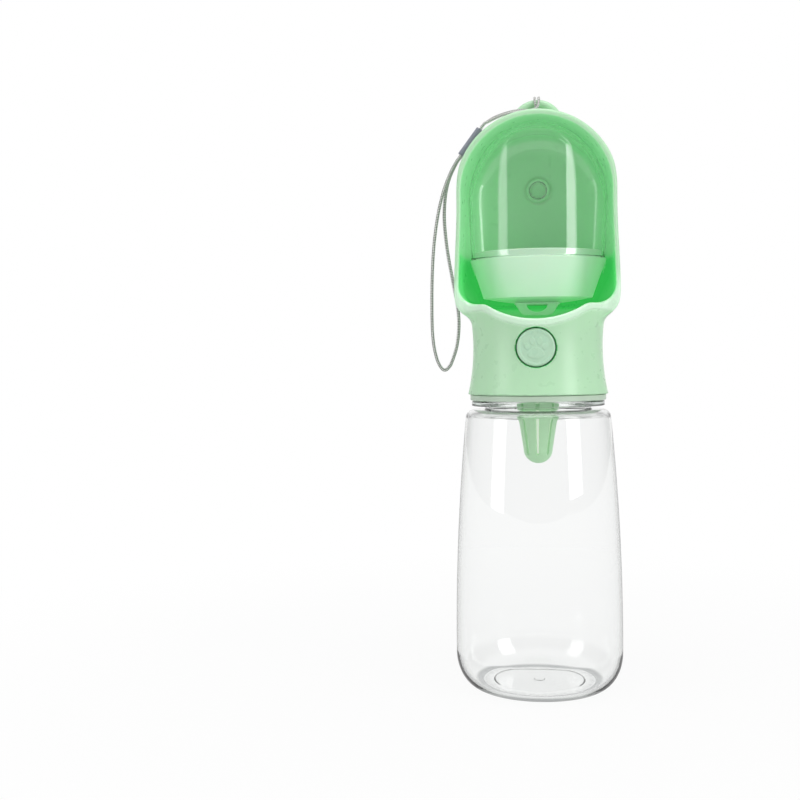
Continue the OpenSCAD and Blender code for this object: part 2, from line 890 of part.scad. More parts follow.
module filter_core() {
  core_r = basket_neck_r - basket_wall - core_gap;
  color("white")
    union() {
      rotate_extrude()
        intersection() {
          basket_outline(basket_wall + core_gap, basket_top - 2);
          square([core_r, basket_top]);
        }
      translate([0, 0, basket_top - 3])
        cylinder(r = core_r, h = basket_neck_h + 2.4);
    }
}

// Straight-sided plan of the cup with rounded back corners, open to the front. It is drawn in
// by inset all round, and by narrow at each side
module cup_back_plan(narrow, inset, corner = cup_corner) {
  hood_plan(
    cup_r - narrow - inset, cup_front_y - 1, cup_back_y - inset, max(0.5, corner - inset)
  );
}

// Plan of the cup, with its round front
module cup_plan(narrow, inset, corner = cup_corner) {
  intersection() {
    translate([0, cup_front_y + cup_front_r])
      circle(cup_front_r - inset, $fn = 128);
    cup_back_plan(narrow, inset, corner);
  }
}

// Front view that draws the cup's sides in towards its rim and leaves its vault alone
module cup_view(inset) {
  foot = rim_z - inset;
  top = cup_arch_z + cup_r + 1;
  polygon(
    [
      [cup_r - inset, cup_arch_z], [cup_r + 1, cup_arch_z], [cup_r + 1, top],
      [-cup_r - 1, top], [-cup_r - 1, cup_arch_z], [inset - cup_r, cup_arch_z],
      [inset - rim_w, foot], [rim_w - inset, foot]
    ]
  );
}

// The cup's outside or, with an inset, its hollow: the plan under an arch that rounds into the back
module cup_form(inset) {
  intersection() {
    arched_form(cup_arch_z, rim_z - 2 * inset)
      cup_back_plan(0, inset);
    translate([0, 0, rim_z - 2 * inset])
      linear_extrude(cup_skirt + cup_r + 2 * inset + 1)
        cup_plan(0, inset);
    spread_y(cup_front_y - 1, cup_back_y + 1)
      cup_view(inset);
  }
}

module food_cup() {
  color([0.85, 0.93, 0.88, 0.35])
    union() {
      difference() {
        cup_form(0);
        cup_form(cup_wall);
      }
      translate([0, hood_in_back_y - 0.3, stud_z])
        rotate([90, 0, 0])
          cylinder(r = stud_r, h = hood_in_back_y - 0.3 - cup_back_y + cup_wall / 2);
    }
}

// The lid's outside or, with an inset, its hollow
module lid_form(inset) {
  slab = 0.4;
  belly_w = 14;
  belly_d = 3;
  foot_in = lid_edge + lid_depth_taper + inset;
  foot_narrow = lid_narrow + lid_taper - lid_depth_taper;
  hull() {
    translate([0, 0, lid_top - slab])
      linear_extrude(slab + (inset > 0 ? eps : 0))
        cup_plan(lid_narrow, lid_edge + inset, $fn = 48);
    translate([0, 0, lid_bottom + lid_belly + inset / 2])
      linear_extrude(slab)
        cup_plan(foot_narrow, foot_in, lid_corner, $fn = 48);
    translate([0, 0, lid_bottom + inset])
      linear_extrude(slab)
        cup_plan(foot_narrow + belly_w - belly_d, foot_in + belly_d, lid_corner, $fn = 48);
  }
}

// A wall that follows the cup's rim, drawn in by inset
module band(inset, wall, z0, z1) {
  translate([0, 0, z0])
    linear_extrude(z1 - z0)
      difference() {
        cup_plan(cup_taper, inset);
        cup_plan(cup_taper, inset + wall);
      }
}

module cup_lid() {
  ledge_w = 2;
  ledge_t = 1.5;
  color([0.8, 0.94, 0.82])
    union() {
      difference() {
        lid_form(0);
        lid_form(lid_wall);
      }
      band(plug_inset, lid_wall, lid_top - 1, lid_top + lid_gap + lid_plug_h);
      band(plug_inset - ledge_w, ledge_w + lid_wall, lid_top - ledge_t, lid_top);
    }
}

module lid_seal() {
  color("whitesmoke")
    band(
      plug_inset - seal_t, seal_t - 0.05, lid_top, lid_top + lid_gap + lid_plug_h - 0.6
    );
}

module lid_tab() {
  front = lid_front_foot - tab_t;
  sole_z = lid_bottom - tab_t;
  foot_z = lid_bottom - tab_drop;
  hole_top = sole_z - 0.1;
  color([0.72, 0.93, 0.74, 0.7])
    union() {
      difference() {
        spread_y(front, front + tab_t)
          polygon(
            [
              [-tab_w / 2, lid_bottom], [tab_w / 2, lid_bottom],
              [tab_foot_w / 2, foot_z], [-tab_foot_w / 2, foot_z]
            ]
          );
        spread_y(front - 1, front + tab_t + 1)
          intersection() {
            translate([0, hole_top])
              scale([tab_hole_w / 2, tab_hole_h])
                circle(1);
            translate([-tab_w / 2, hole_top - tab_drop])
              square([tab_w, tab_drop]);
          }
      }
      translate([-tab_w / 2, front, sole_z])
        cube([tab_w, cup_front_y + cup_depth / 2 - front, tab_t]);
    }
}

// Routes of the lanyard's cords. The ferrule lies along [3, 0, 4] / 5
ferrule_low = [-34.2, 9, 239.2];
ferrule_high = [-25.5, 9, 250.8];

string_route = [
  [-25.5, 9.7, 250.8], [-23.7, 9.7, 253.2], [-21.2, 9.4, 255], [-18.2, 8.8, 256.3],
  [-15, 7.9, 257.2], [-11.8, 6.9, 257.8], [-8.6, 6.3, 258.1], [-5.5, 6.2, 258.1],
  [-3, 6.8, 258], [-1.4, 8.8, 258.4], [-0.9, 10.9, 259.3], [-0.9, 11.7, 261.2],
  [-0.9, 10.9, 263.1], [-0.9, 9, 263.9], [-0.9, 7.1, 263.1], [-0.7, 6.3, 261.2],
  [-0.2, 7, 259.3], [0.5, 9, 258.5], [0.9, 10.9, 259.3], [0.9, 11.7, 261.2],
  [0.9, 10.9, 263.1], [0.9, 9, 263.9], [0.9, 7.1, 263.1], [0.9, 6.2, 261.2],
  [0.4, 5.4, 259.2], [-1.2, 4.8, 258], [-3.8, 4.6, 257.5], [-7, 4.7, 257.2],
  [-10.2, 5, 257], [-13.4, 5.6, 256.6], [-16.5, 6.4, 255.9], [-19.4, 7.4, 254.9],
  [-21.8, 8.1, 253.9], [-23.7, 8.3, 253.2], [-25.5, 8.3, 250.8]
];

loop_route = [
  [-34.2, 8.1, 239.2], [-36.6, 8.1, 236], [-39.4, 8, 230.8], [-41.8, 7.9, 224.8],
  [-43.8, 7.9, 218], [-45.3, 7.9, 210.8], [-46.4, 7.9, 203.4], [-47.2, 7.9, 195.8],
  [-47.7, 7.9, 188], [-48, 7.9, 180], [-48.1, 7.9, 172], [-48.1, 7.9, 164.2],
  [-47.8, 7.9, 157], [-46.9, 8, 150.4], [-45.3, 8.2, 145], [-42.9, 8.6, 141.9],
  [-40.4, 9.2, 143.4], [-38.6, 9.6, 147.4], [-37.1, 9.9, 152.4], [-36.2, 10, 158.4],
  [-36, 10.1, 164.8], [-36.6, 10.1, 171.4], [-37.8, 10.1, 178], [-39, 10.1, 184.6],
  [-40.2, 10.1, 191.2], [-41.2, 10.1, 197.8], [-41.9, 10.1, 204.4], [-42.3, 10.1, 211],
  [-42.1, 10.1, 217.4], [-41.3, 10.1, 223.8], [-39.6, 10, 229.8], [-36.6, 9.9, 236],
  [-34.2, 9.9, 239.2]
];

module lanyard_string() {
  color("lightgray")
    swept_tube(string_route, string_r, 8);
}

module lanyard_ferrule() {
  way = ferrule_high - ferrule_low;
  color("slategray")
    translate(ferrule_low)
      rotate([0, acos(way[2] / norm(way)), 0])
        cylinder(r = ferrule_r, h = norm(way));
}

module wrist_loop() {
  color("silver")
    swept_tube(loop_route, cord_r, 8);
}

bottle_body();
neck_gasket();
head_shell();
inner_cap();
inlet_seal();
valve_housing();
valve_seat();
outlet_grommet();
rod_seal();
chamber_end_plug();
end_plug_seal();
button_cap();
valve_rod();
valve_plug();
plug_retainer();
button_spring();
filter_collar();
filter_basket();
filter_core();
food_cup();
cup_lid();
lid_seal();
lid_tab();
lanyard_string();
lanyard_ferrule();
wrist_loop();
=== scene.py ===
import math

import bpy
import numpy as np
from mathutils import Matrix, Vector


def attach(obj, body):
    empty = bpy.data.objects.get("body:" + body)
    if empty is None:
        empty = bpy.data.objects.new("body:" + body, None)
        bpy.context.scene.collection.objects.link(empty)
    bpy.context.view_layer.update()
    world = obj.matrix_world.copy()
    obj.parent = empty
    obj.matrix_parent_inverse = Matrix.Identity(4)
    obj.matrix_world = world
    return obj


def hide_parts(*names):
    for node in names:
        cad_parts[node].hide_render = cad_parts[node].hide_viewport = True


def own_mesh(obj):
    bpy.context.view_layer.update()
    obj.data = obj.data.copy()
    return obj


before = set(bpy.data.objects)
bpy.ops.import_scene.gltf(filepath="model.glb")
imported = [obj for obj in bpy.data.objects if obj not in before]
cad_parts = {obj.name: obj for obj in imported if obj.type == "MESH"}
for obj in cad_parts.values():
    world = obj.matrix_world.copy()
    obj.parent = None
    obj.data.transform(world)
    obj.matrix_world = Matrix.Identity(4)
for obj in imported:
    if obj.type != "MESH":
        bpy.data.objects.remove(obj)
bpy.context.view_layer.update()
MM = 0.001

# ---------------------------------------------------------------- sizes, in millimetres
BOTTLE_R = 37.0
BELLY_Z = 22.0
TAPER_ARC_R = 1000.0
SHOULDER_Z = 124.3
SHOULDER_ROUND = 3.6
BASE_ROUND = (11.5, 16.0)
BOTTLE_WALL = 1.2
BASE_T = 2.0
PUNT_R = 20.0
PUNT_DEPTH = 0.7
FOOT_LINE = 1.6
NECK_R = 23.6
MOUTH_R = 21.4
FLANGE_R = 29.43
FLANGE_Z = 125.9
FLANGE_TOP = 128.1
MOUTH_Z = 139.4
THREAD_PITCH = 5.0
THREAD_H = 1.4
THREAD_FOOT = 2.0
THREAD_CREST = 1.0
THREAD_FADE_STEPS = 12
THREAD_LIFT = 2.8

RING_Z = 128.4
RING_T = 2.4
RING_R = 30.03
CAP_BORE_R = 25.6
CAP_R = 27.2
CAP_PLATE_Z = 140.6
CAP_TOP = 142.4
SPIGOT_R = 7.7
SPIGOT_BORE_R = 5.5
SPIGOT_L = 10.0
CAP_THREAD_Z = 130.3
SNAP_RIDGE = (137.4, 0.35)

COLLAR_Z = 131.0
WAIST_Z = 152.0
WAIST_R = 28.6
COLLAR_ARC_R = 92.0
SHELL_BORE_R = 27.3
INSIDE_R = 26.4
LEDGE_Z = 144.0
BUTTON_Z = 151.4
HOLE_R = 8.5
FLOOR_UNDER = 159.7
FLOOR_Z = 161.4
LIP_Z = 163.6
CORNER_Z = 170.8
DIP_R = 38.5
BOWL_R = 27.2
LIP_BEAD = (1.0, 3.2)
LIP_ROUND = 1.4

HOOD_Z = 164.0
HOOD_R = 35.6
HOOD_WALL = 2.8
HOOD_FRONT_Y = -11.5
HOOD_BACK_Y = 29.2
HOOD_BACK_ROUND = 15.0
HOOD_CORNER = 12.0
INNER_CORNER = 8.0
ARCH_Z = 219.6
HOOD_FLARE = 1.3
FLARE_Z = (215.0, 176.0)
HOOD_BLEND = 3.0
HOOD_EDGE = 1.6
LUG_Y = 9.0
LUG_Z = 251.0
LUG_RING_R = 10.2
LUG_R = 1.8
OUTLET_Y = -8.0
OUTLET_R = 3.8
HEAD_BOX = ((-39, -32, 129), (39, 31.5, 265.5))
HEAD_CELL = 0.65
SHUT_REACHES = (2.0, 4.0, 8.0, 14.0, 20.0)

CUP_R = 31.7
CUP_FRONT_Y = -8.0
CUP_BACK_Y = 23.6
CUP_FRONT_R = 34.0
CUP_CORNER = 9.0
CUP_ARCH_Z = 219.7
CUP_CROWN_EDGE = 7.0
CUP_WALL = 1.6
RIM_Z = 192.2
RIM_W = 30.3
STUD_Z = 224.5
STUD_R = 3.8
SOCKET_R = 5.6
SOCKET_FRONT_Y = 24.0
STUD_Y = (22.6, 26.1)
CUP_BOX = ((-33, -9.5, 191), (33, 27.5, 252.9))
CUP_CELL = 0.7

LID_TOP = 191.9
LID_BOTTOM = 171.3
LID_W = 31.0
LID_EDGE = 0.4
LID_TAPER = (6.4, 3.0)
LID_BELLY = 2.8
LID_CORNER = 16.0
LID_WALL = 1.8
LID_PLUG = (2.7, 195.4)
LID_SHADE_Z = (174.2, 172.8)
PLAN_POINTS = 160

TAB_Y = -6.0
TAB_T = 1.4
TAB_W = 20.0
TAB_FOOT_W = 13.0
TAB_FOOT_Z = 165.7
TAB_HOLE_HALF = 4.5
TAB_HOLE_H = 3.2
TAB_SOLE_T = 0.7
TAB_SOLE_BACK_Y = 7.8
TAB_BAR_H = 0.9
TAB_ROUND = 3.2

BUTTON_R = 8.1
BUTTON_FACE_Y = -28.9
BUTTON_BACK_Y = -26.5
BUTTON_FLAT_R = 7.0
BUTTON_STEP = 0.25
BUTTON_DISH = 0.3
BUTTON_MIDDLE = 0.25
PAW_H = 0.25
STEM_R = 3.2
STEM_END_Y = -18.5
ROD_R = 1.5
ROD_HOLE_L = 5.9

SPRING_R = 3.35
SPRING_WIRE = 0.35
SPRING_Y = (1.4, 11.0)
SPRING_TURNS = 5
SPRING_GAP = 0.02

FILTER_R = 9.4
FILTER_TOP = 140.2
FILTER_FOOT = 124.4
BASKET_TOP = 124.0
BASKET_Z = 100.0
BASKET_END_R = 6.5
BASKET_WALL = 1.2
BASKET_NECK = (7.7, 5.4)
SLOTS = 8
SLOT_W = 1.3
SLOT_MEAN_R = 8.0
COLLAR_SLOT_H = 4.2
BASKET_FOOT_H = 4.2
BASKET_BAND_H = 1.8

STRING_R = 0.6
CORD_R = 0.8
BRAID_STRANDS = 3
BRAID_PITCH = 1.5
BRAID_STEP = 0.22
FERRULE_R = 1.8
FERRULE_LOW = (-34.2, 9.0, 239.2)
FERRULE_HIGH = (-25.5, 9.0, 250.8)

STRING_ROUTE = [
    (-25.5, 9.7, 250.8), (-23.7, 9.7, 253.2), (-21.2, 9.4, 255), (-18.2, 8.8, 256.3),
    (-15, 7.9, 257.2), (-11.8, 6.9, 257.8), (-8.6, 6.3, 258.1), (-5.5, 6.2, 258.1),
    (-3, 6.8, 258), (-1.4, 8.8, 258.4), (-0.9, 10.9, 259.3), (-0.9, 11.7, 261.2),
    (-0.9, 10.9, 263.1), (-0.9, 9, 263.9), (-0.9, 7.1, 263.1), (-0.7, 6.3, 261.2),
    (-0.2, 7, 259.3), (0.5, 9, 258.5), (0.9, 10.9, 259.3), (0.9, 11.7, 261.2),
    (0.9, 10.9, 263.1), (0.9, 9, 263.9), (0.9, 7.1, 263.1), (0.9, 6.2, 261.2),
    (0.4, 5.4, 259.2), (-1.2, 4.8, 258), (-3.8, 4.6, 257.5), (-7, 4.7, 257.2),
    (-10.2, 5, 257), (-13.4, 5.6, 256.6), (-16.5, 6.4, 255.9), (-19.4, 7.4, 254.9),
    (-21.8, 8.1, 253.9), (-23.7, 8.3, 253.2), (-25.5, 8.3, 250.8),
]

LOOP_ROUTE = [
    (-34.2, 8.1, 239.2), (-36.6, 8.1, 236), (-39.4, 8, 230.8), (-41.8, 7.9, 224.8),
    (-43.8, 7.9, 218), (-45.3, 7.9, 210.8), (-46.4, 7.9, 203.4), (-47.2, 7.9, 195.8),
    (-47.7, 7.9, 188), (-48, 7.9, 180), (-48.1, 7.9, 172), (-48.1, 7.9, 164.2),
    (-47.8, 7.9, 157), (-46.9, 8, 150.4), (-45.3, 8.2, 145), (-42.9, 8.6, 141.9),
    (-40.4, 9.2, 143.4), (-38.6, 9.6, 147.4), (-37.1, 9.9, 152.4), (-36.2, 10, 158.4),
    (-36, 10.1, 164.8), (-36.6, 10.1, 171.4), (-37.8, 10.1, 178), (-39, 10.1, 184.6),
    (-40.2, 10.1, 191.2), (-41.2, 10.1, 197.8), (-41.9, 10.1, 204.4), (-42.3, 10.1, 211),
    (-42.1, 10.1, 217.4), (-41.3, 10.1, 223.8), (-39.6, 10, 229.8), (-36.6, 9.9, 236),
    (-34.2, 9.9, 239.2),
]


# ---------------------------------------------------------------- meshes
def add_mesh(name, verts_mm, faces, body, material, slot, replaced):
    """A mesh from points in millimetres, which rides on a body and stands for a CAD node."""
    mesh = bpy.data.meshes.new(name)
    points = np.asarray(verts_mm, float) * MM
    mesh.from_pydata(points.tolist(), [], [tuple(f) for f in faces])
    mesh.update()
    mesh.polygons.foreach_set("use_smooth", np.ones(len(mesh.polygons), bool))
    obj = bpy.data.objects.new(name, mesh)
    bpy.context.scene.collection.objects.link(obj)
    mesh.materials.append(material)
    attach(obj, body)
    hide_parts(replaced)
    return obj


def weighted_normals(obj):
    modifier = obj.modifiers.new("normals", "WEIGHTED_NORMAL")
    modifier.weight = 80
    return obj


def bevelled(obj, width, segments, angle):
    modifier = obj.modifiers.new("edges", "BEVEL")
    modifier.width = width * MM
    modifier.segments = segments
    modifier.limit_method = "ANGLE"
    modifier.angle_limit = math.radians(angle)
    return weighted_normals(obj)


def point_values(obj, name, values):
    """Gives each point of a mesh a value, which its material reads by the name."""
    layer = obj.data.attributes.new(name, "FLOAT", "POINT")
    layer.data.foreach_set("value", values.astype(np.float32))


def rounded(corners, steps=6):
    """An outline from corners (a, b, radius): each corner with a radius becomes an arc."""
    out = []
    n = len(corners)
    for i, corner in enumerate(corners):
        p = np.array(corner[:2], float)
        radius = corner[2] if len(corner) > 2 else 0
        if radius == 0:
            out.append(tuple(p))
            continue
        before = np.array(corners[i - 1][:2], float) - p
        after = np.array(corners[(i + 1) % n][:2], float) - p
        u = before / np.linalg.norm(before)
        w = after / np.linalg.norm(after)
        half = math.acos(max(-1.0, min(1.0, float(u @ w)))) / 2
        reach = radius / math.tan(half)
        middle = (u + w) / np.linalg.norm(u + w)
        centre = p + middle * (radius / math.sin(half))
        start = p + u * reach - centre
        end = p + w * reach - centre
        turn = math.acos(max(-1.0, min(1.0, float(start @ end) / radius**2)))
        for k in range(steps + 1):
            t = k / steps
            a = math.sin((1 - t) * turn) / math.sin(turn)
            b = math.sin(t * turn) / math.sin(turn)
            out.append(tuple(centre + a * start + b * end))
    return out


def even_angles(steps):
    return [2 * math.pi * k / steps for k in range(steps)]


def add_row(verts, rows, ring, count):
    """Adds a ring's points, or the one point that stands for a ring, and their numbers."""
    rows.append([len(verts) + k % len(ring) for k in range(count)])
    verts.extend(ring)


def row_faces(rows):
    """Faces between rows of point numbers, with a number that a face has twice left out."""
    faces = []
    for low, high in zip(rows, rows[1:]):
        for k in range(len(low)):
            m = (k + 1) % len(low)
            face = list(dict.fromkeys((low[k], low[m], high[m], high[k])))
            if len(face) > 2:
                faces.append(face)
    return faces


def revolve(outline, angles, closed=True):
    """Points and faces of an outline (r, z) turned about Z. Points on the axis become poles."""
    verts, rows = [], []
    for r, z in outline:
        turned = angles if r > 1e-6 else angles[:1]
        ring = [(r * math.cos(a), r * math.sin(a), z) for a in turned]
        add_row(verts, rows, ring, len(angles))
    return verts, row_faces(rows + rows[:1] if closed else rows)


def loft(rings):
    """Points and faces of rings that are joined in turn, with both ends closed."""
    count = len(rings[0])
    rows = [list(range(count * i, count * (i + 1))) for i in range(len(rings))]
    return [v for ring in rings for v in ring], row_faces(rows) + [rows[0][::-1], rows[-1]]


def merge(*parts):
    verts, faces = [], []
    for part_verts, part_faces in parts:
        start = len(verts)
        verts.extend(part_verts)
        faces.extend([[start + i for i in f] for f in part_faces])
    return verts, faces


def thread_ridge(foot_r, tip_r, z0, turns, start):
    """A helical ridge whose ends fade out."""
    steps = 96
    n = round(steps * turns)
    rings = []
    for i in range(n + 1):
        a = math.radians(start) + 2 * math.pi * i / steps
        z = z0 + THREAD_PITCH * i / steps
        fade = min(1.0, min(i, n - i) / THREAD_FADE_STEPS)
        tip = foot_r + (tip_r - foot_r) * max(0.3, math.sin(fade * math.pi / 2))
        section = ((foot_r, -THREAD_FOOT / 2), (tip, -THREAD_CREST / 2),
                   (tip, THREAD_CREST / 2), (foot_r, THREAD_FOOT / 2))
        rings.append([(r * math.cos(a), r * math.sin(a), z + dz) for r, dz in section])
    verts, faces = loft(rings)
    return verts, faces if tip_r > foot_r else [f[::-1] for f in faces]


def resample(points, count=0, step=1.0):
    """A row of points cut into equal steps, and the row's length."""
    points = np.asarray(points, float)
    run = np.concatenate([[0], np.cumsum(np.linalg.norm(np.diff(points, axis=0), axis=1))])
    count = count or max(2, round(run[-1] / step))
    at = np.linspace(0, run[-1], count + 1)
    return np.stack([np.interp(at, run, values) for values in points.T], axis=1), run[-1]


def smooth_route(points, step):
    """A Catmull-Rom curve through the route's points, cut into equal steps."""
    p = np.array(points, float)
    p = np.vstack([2 * p[0] - p[1], p, 2 * p[-1] - p[-2]])
    fine = []
    for a, b, c, d in zip(p, p[1:], p[2:], p[3:]):
        for t in np.linspace(0, 1, 24, endpoint=False):
            fine.append(0.5 * (2 * b + (c - a) * t + (2 * a - 5 * b + 4 * c - d) * t * t
                               + (3 * b - a - 3 * c + d) * t**3))
    fine.append(p[-2])
    return resample(fine, step=step)


def braided_tube(name, route, radius, replaced):
    """A tube whose surface carries the diamond relief of a braid; UV is (round, along)."""
    sides = 20
    path, length = smooth_route(route, BRAID_STEP)
    n = len(path)
    tangents = np.gradient(path, axis=0)
    tangents /= np.linalg.norm(tangents, axis=1)[:, None]
    up = np.array([0.0, 1.0, 0.0])
    verts = []
    run = 0.0
    for i in range(n):
        if i:
            run += np.linalg.norm(path[i] - path[i - 1])
        t = tangents[i]
        up = up - (up @ t) * t
        up /= np.linalg.norm(up)
        side = np.cross(t, up)
        along = 2 * math.pi * run / BRAID_PITCH
        for a in even_angles(sides):
            relief = math.cos(BRAID_STRANDS * a + along) * math.cos(BRAID_STRANDS * a - along)
            r = radius * (0.93 + 0.09 * relief)
            verts.append(path[i] + r * (math.cos(a) * up + math.sin(a) * side))
    faces = []
    uvs = []
    for i in range(n - 1):
        for k in range(sides):
            p, q = sides * i + k, sides * i + (k + 1) % sides
            faces.append([p, p + sides, q + sides, q])
            v0, v1 = i / (n - 1) * length, (i + 1) / (n - 1) * length
            u0, u1 = k / sides, (k + 1) / sides
            uvs.extend([(u0, v0), (u0, v1), (u1, v1), (u1, v0)])
    for ring, order in ((0, 1), (sides * (n - 1), -1)):
        faces.append([ring + k for k in range(sides)][::order])
        uvs.extend([(0.5, 0.0)] * sides)
    obj = add_mesh(name, verts, faces, "head", CORD, "grey_cord", replaced)
    layer = obj.data.uv_layers.new(name="braid")
    layer.data.foreach_set("uv", np.array(uvs, np.float32).ravel())
    return obj, path * MM, length * MM


# ---------------------------------------------------------------- implicit surfaces
def smax(a, b, k):
    h = np.clip(0.5 + 0.5 * (a - b) / k, 0, 1)
    return b + (a - b) * h + k * h * (1 - h)


def smin(a, b, k):
    return -smax(-a, -b, k)


def corner2(u, v, r):
    """Distance to the quarter plane u < 0, v < 0 with its corner rounded to radius r."""
    pu, pv = u + r, v + r
    return np.hypot(np.maximum(pu, 0), np.maximum(pv, 0)) + np.minimum(np.maximum(pu, pv), 0) - r


def step(edge0, edge1, x):
    t = np.clip((x - edge0) / (edge1 - edge0), 0, 1)
    return t * t * (3 - 2 * t)


def gradient(field, p, h=0.05):
    out = np.empty_like(p)
    for k in range(3):
        a, b = p.copy(), p.copy()
        a[:, k] += h
        b[:, k] -= h
        out[:, k] = (field(*a.T) - field(*b.T)) / (2 * h)
    return out


def surface_net(field, low, high, cell):
    """Quads on the zero surface of a field, with each point moved onto the true surface."""
    axes = [np.arange(a, b + cell, cell) for a, b in zip(low, high)]
    grid = np.meshgrid(*axes, indexing="ij")
    f = field(*grid)
    inside = f < 0
    shape = [n - 1 for n in f.shape]
    count = np.zeros(shape, np.int8)
    corners = [(i, j, k) for i in (0, 1) for j in (0, 1) for k in (0, 1)]
    for i, j, k in corners:
        count += inside[i:i + shape[0], j:j + shape[1], k:k + shape[2]]
    mixed = (count > 0) & (count < 8)
    index = -np.ones(shape, np.int64)
    index[mixed] = np.arange(mixed.sum())
    cells = np.argwhere(mixed)
    total = np.zeros((len(cells), 3))
    crossings = np.zeros(len(cells))
    for a in corners:
        for axis in range(3):
            if a[axis]:
                continue
            b = tuple(v + (m == axis) for m, v in enumerate(a))
            fa = f[tuple((cells + a).T)]
            fb = f[tuple((cells + b).T)]
            cross = (fa < 0) != (fb < 0)
            t = np.where(cross, fa / np.where(cross, fa - fb, 1), 0)
            point = np.array(a, float) + t[:, None] * (np.array(b) - np.array(a))
            total += point * cross[:, None]
            crossings += cross
    verts = np.array(low) + (cells + total / crossings[:, None]) * cell
    start = verts
    for _ in range(4):
        g = gradient(field, verts)
        size = np.maximum((g**2).sum(1), 0.2)
        move = -(field(*verts.T) / size)[:, None] * g
        far = np.linalg.norm(move, axis=1)
        move *= np.minimum(1, 0.4 * cell / np.maximum(far, 1e-9))[:, None]
        verts = start + np.clip(verts + move - start, -0.5 * cell, 0.5 * cell)
    faces = []
    for axis in range(3):
        u, v = (axis + 1) % 3, (axis + 2) % 3
        first = [slice(None)] * 3
        second = [slice(None)] * 3
        first[axis], second[axis] = slice(None, -1), slice(1, None)
        edge = inside[tuple(first)] != inside[tuple(second)]
        at = np.argwhere(edge)
        at = at[(at[:, u] > 0) & (at[:, v] > 0) & (at[:, u] < shape[u]) & (at[:, v] < shape[v])]
        leaving = inside[tuple(at.T)]
        ring = []
        for du, dv in ((1, 1), (0, 1), (0, 0), (1, 0)):
            cell_at = at.copy()
            cell_at[:, u] -= du
            cell_at[:, v] -= dv
            ring.append(index[tuple(cell_at.T)])
        quads = np.stack(ring, axis=1)
        quads[~leaving] = quads[~leaving][:, ::-1]
        faces.append(quads)
    return verts, np.concatenate(faces).tolist()


def field_normal(field, p, h=0.05):
    g = gradient(field, p, h)
    return g / np.maximum(np.linalg.norm(g, axis=1), 1e-6)[:, None]


def shade_by_field(obj, field, verts):
    """Shades a net's points with the field's own normals, so that narrow quads don't show."""
    obj.data.normals_split_custom_set_from_vertices(field_normal(field, verts, 0.1).tolist())


def shut_in(field, verts):
    """0 in the open to 1 deep in a hollow, from the field along each point's normal."""
    normal = field_normal(field, verts)
    hollow_shade = np.zeros(len(verts))
    for reach in SHUT_REACHES:
        p = verts + normal * reach
        hollow_shade += np.clip(1 - field(*p.T) / reach, 0, 1)
    return hollow_shade / len(SHUT_REACHES)


# ---------------------------------------------------------------- materials
def srgb(r, g, b):
    """Linear colour of an 8 bit sRGB one."""
    def linear(c):
        c /= 255
        return c / 12.92 if c <= 0.04045 else ((c + 0.055) / 1.055) ** 2.4
    return (linear(r), linear(g), linear(b), 1.0)


class Nodes:
    """A node tree, with short calls for the nodes that the scene uses."""

    def __init__(self, tree):
        self.nodes = tree.nodes
        self.links = tree.links

    def feed(self, socket, value):
        """Links another node's socket to a socket, or sets it to a number or colour."""
        if isinstance(value, bpy.types.NodeSocket):
            self.links.new(value, socket)
        else:
            socket.default_value = value

    def add(self, kind, **inputs):
        node = self.nodes.new("ShaderNode" + kind)
        for key, value in inputs.items():
            self.feed(node.inputs[key], value)
        return node

    def coords(self, key="Object"):
        return self.add("TexCoord").outputs[key]

    def ray(self, kind):
        return self.add("LightPath").outputs[f"Is {kind} Ray"]

    def attribute(self, name):
        node = self.add("Attribute")
        node.attribute_name = name
        return node.outputs["Fac"]

    def noise(self, scale, detail=3.0, roughness=0.5, source=None):
        node = self.add("TexNoise", Scale=scale, Detail=detail, Roughness=roughness,
                        Vector=source or self.coords())
        return node.outputs["Fac"]

    def spread(self, value, low=0.0, high=1.0, to_low=0.0, to_high=1.0, smooth=False):
        node = self.add("MapRange", Value=value)
        node.interpolation_type = "SMOOTHSTEP" if smooth else "LINEAR"
        for key, end in zip(("From Min", "From Max", "To Min", "To Max"), (low, high, to_low, to_high)):
            self.feed(node.inputs[key], end)
        return node.outputs["Result"]

    def maths(self, operation, a, b=0.0, clamp=False):
        node = self.add("Math")
        node.operation = operation
        node.use_clamp = clamp
        self.feed(node.inputs[0], a)
        self.feed(node.inputs[1], b)
        return node.outputs[0]

    def mix(self, factor, a, b):
        node = self.add("Mix")
        node.data_type = "RGBA"
        for key, value in (("Factor", factor), (6, a), (7, b)):
            self.feed(node.inputs[key], value)
        return node.outputs[2]

    def mix_shaders(self, factor, a, b):
        node = self.add("MixShader")
        for socket, value in zip(node.inputs, (factor, a, b)):
            self.feed(socket, value)
        return node.outputs["Shader"]


class Material(Nodes):
    """A Principled material."""

    def __init__(self, name, **sockets):
        self.material = bpy.data.materials.new(name)
        self.material.use_nodes = True
        super().__init__(self.material.node_tree)
        self.shader = self.nodes["Principled BSDF"]
        for key, value in sockets.items():
            self.set(key.replace("_", " "), value)

    def set(self, key, value):
        self.feed(self.shader.inputs[key], value)

    def output(self, key, value):
        self.feed(self.nodes["Material Output"].inputs[key], value)

    def bump(self, height, distance, strength=1.0):
        node = self.add("Bump", Distance=distance, Strength=strength, Height=height)
        self.set("Normal", node.outputs["Normal"])


def moulded(name, colour, tone=0.93, rough=(0.26, 0.36), grain=0.00002, **sockets):
    """Moulded plastic: slight clouding of the colour, uneven gloss and a fine skin."""
    m = Material(name, **sockets)
    cloud = m.spread(m.noise(90, 4), 0.35, 0.65)
    darker = tuple(c * tone for c in colour[:3]) + (1.0,)
    m.colour = m.mix(cloud, darker, colour)
    m.set("Base Color", m.colour)
    m.set("Roughness", m.spread(m.noise(260, 5), 0.3, 0.7, *rough))
    m.bump(m.noise(2600, 2), grain, 0.35)
    return m


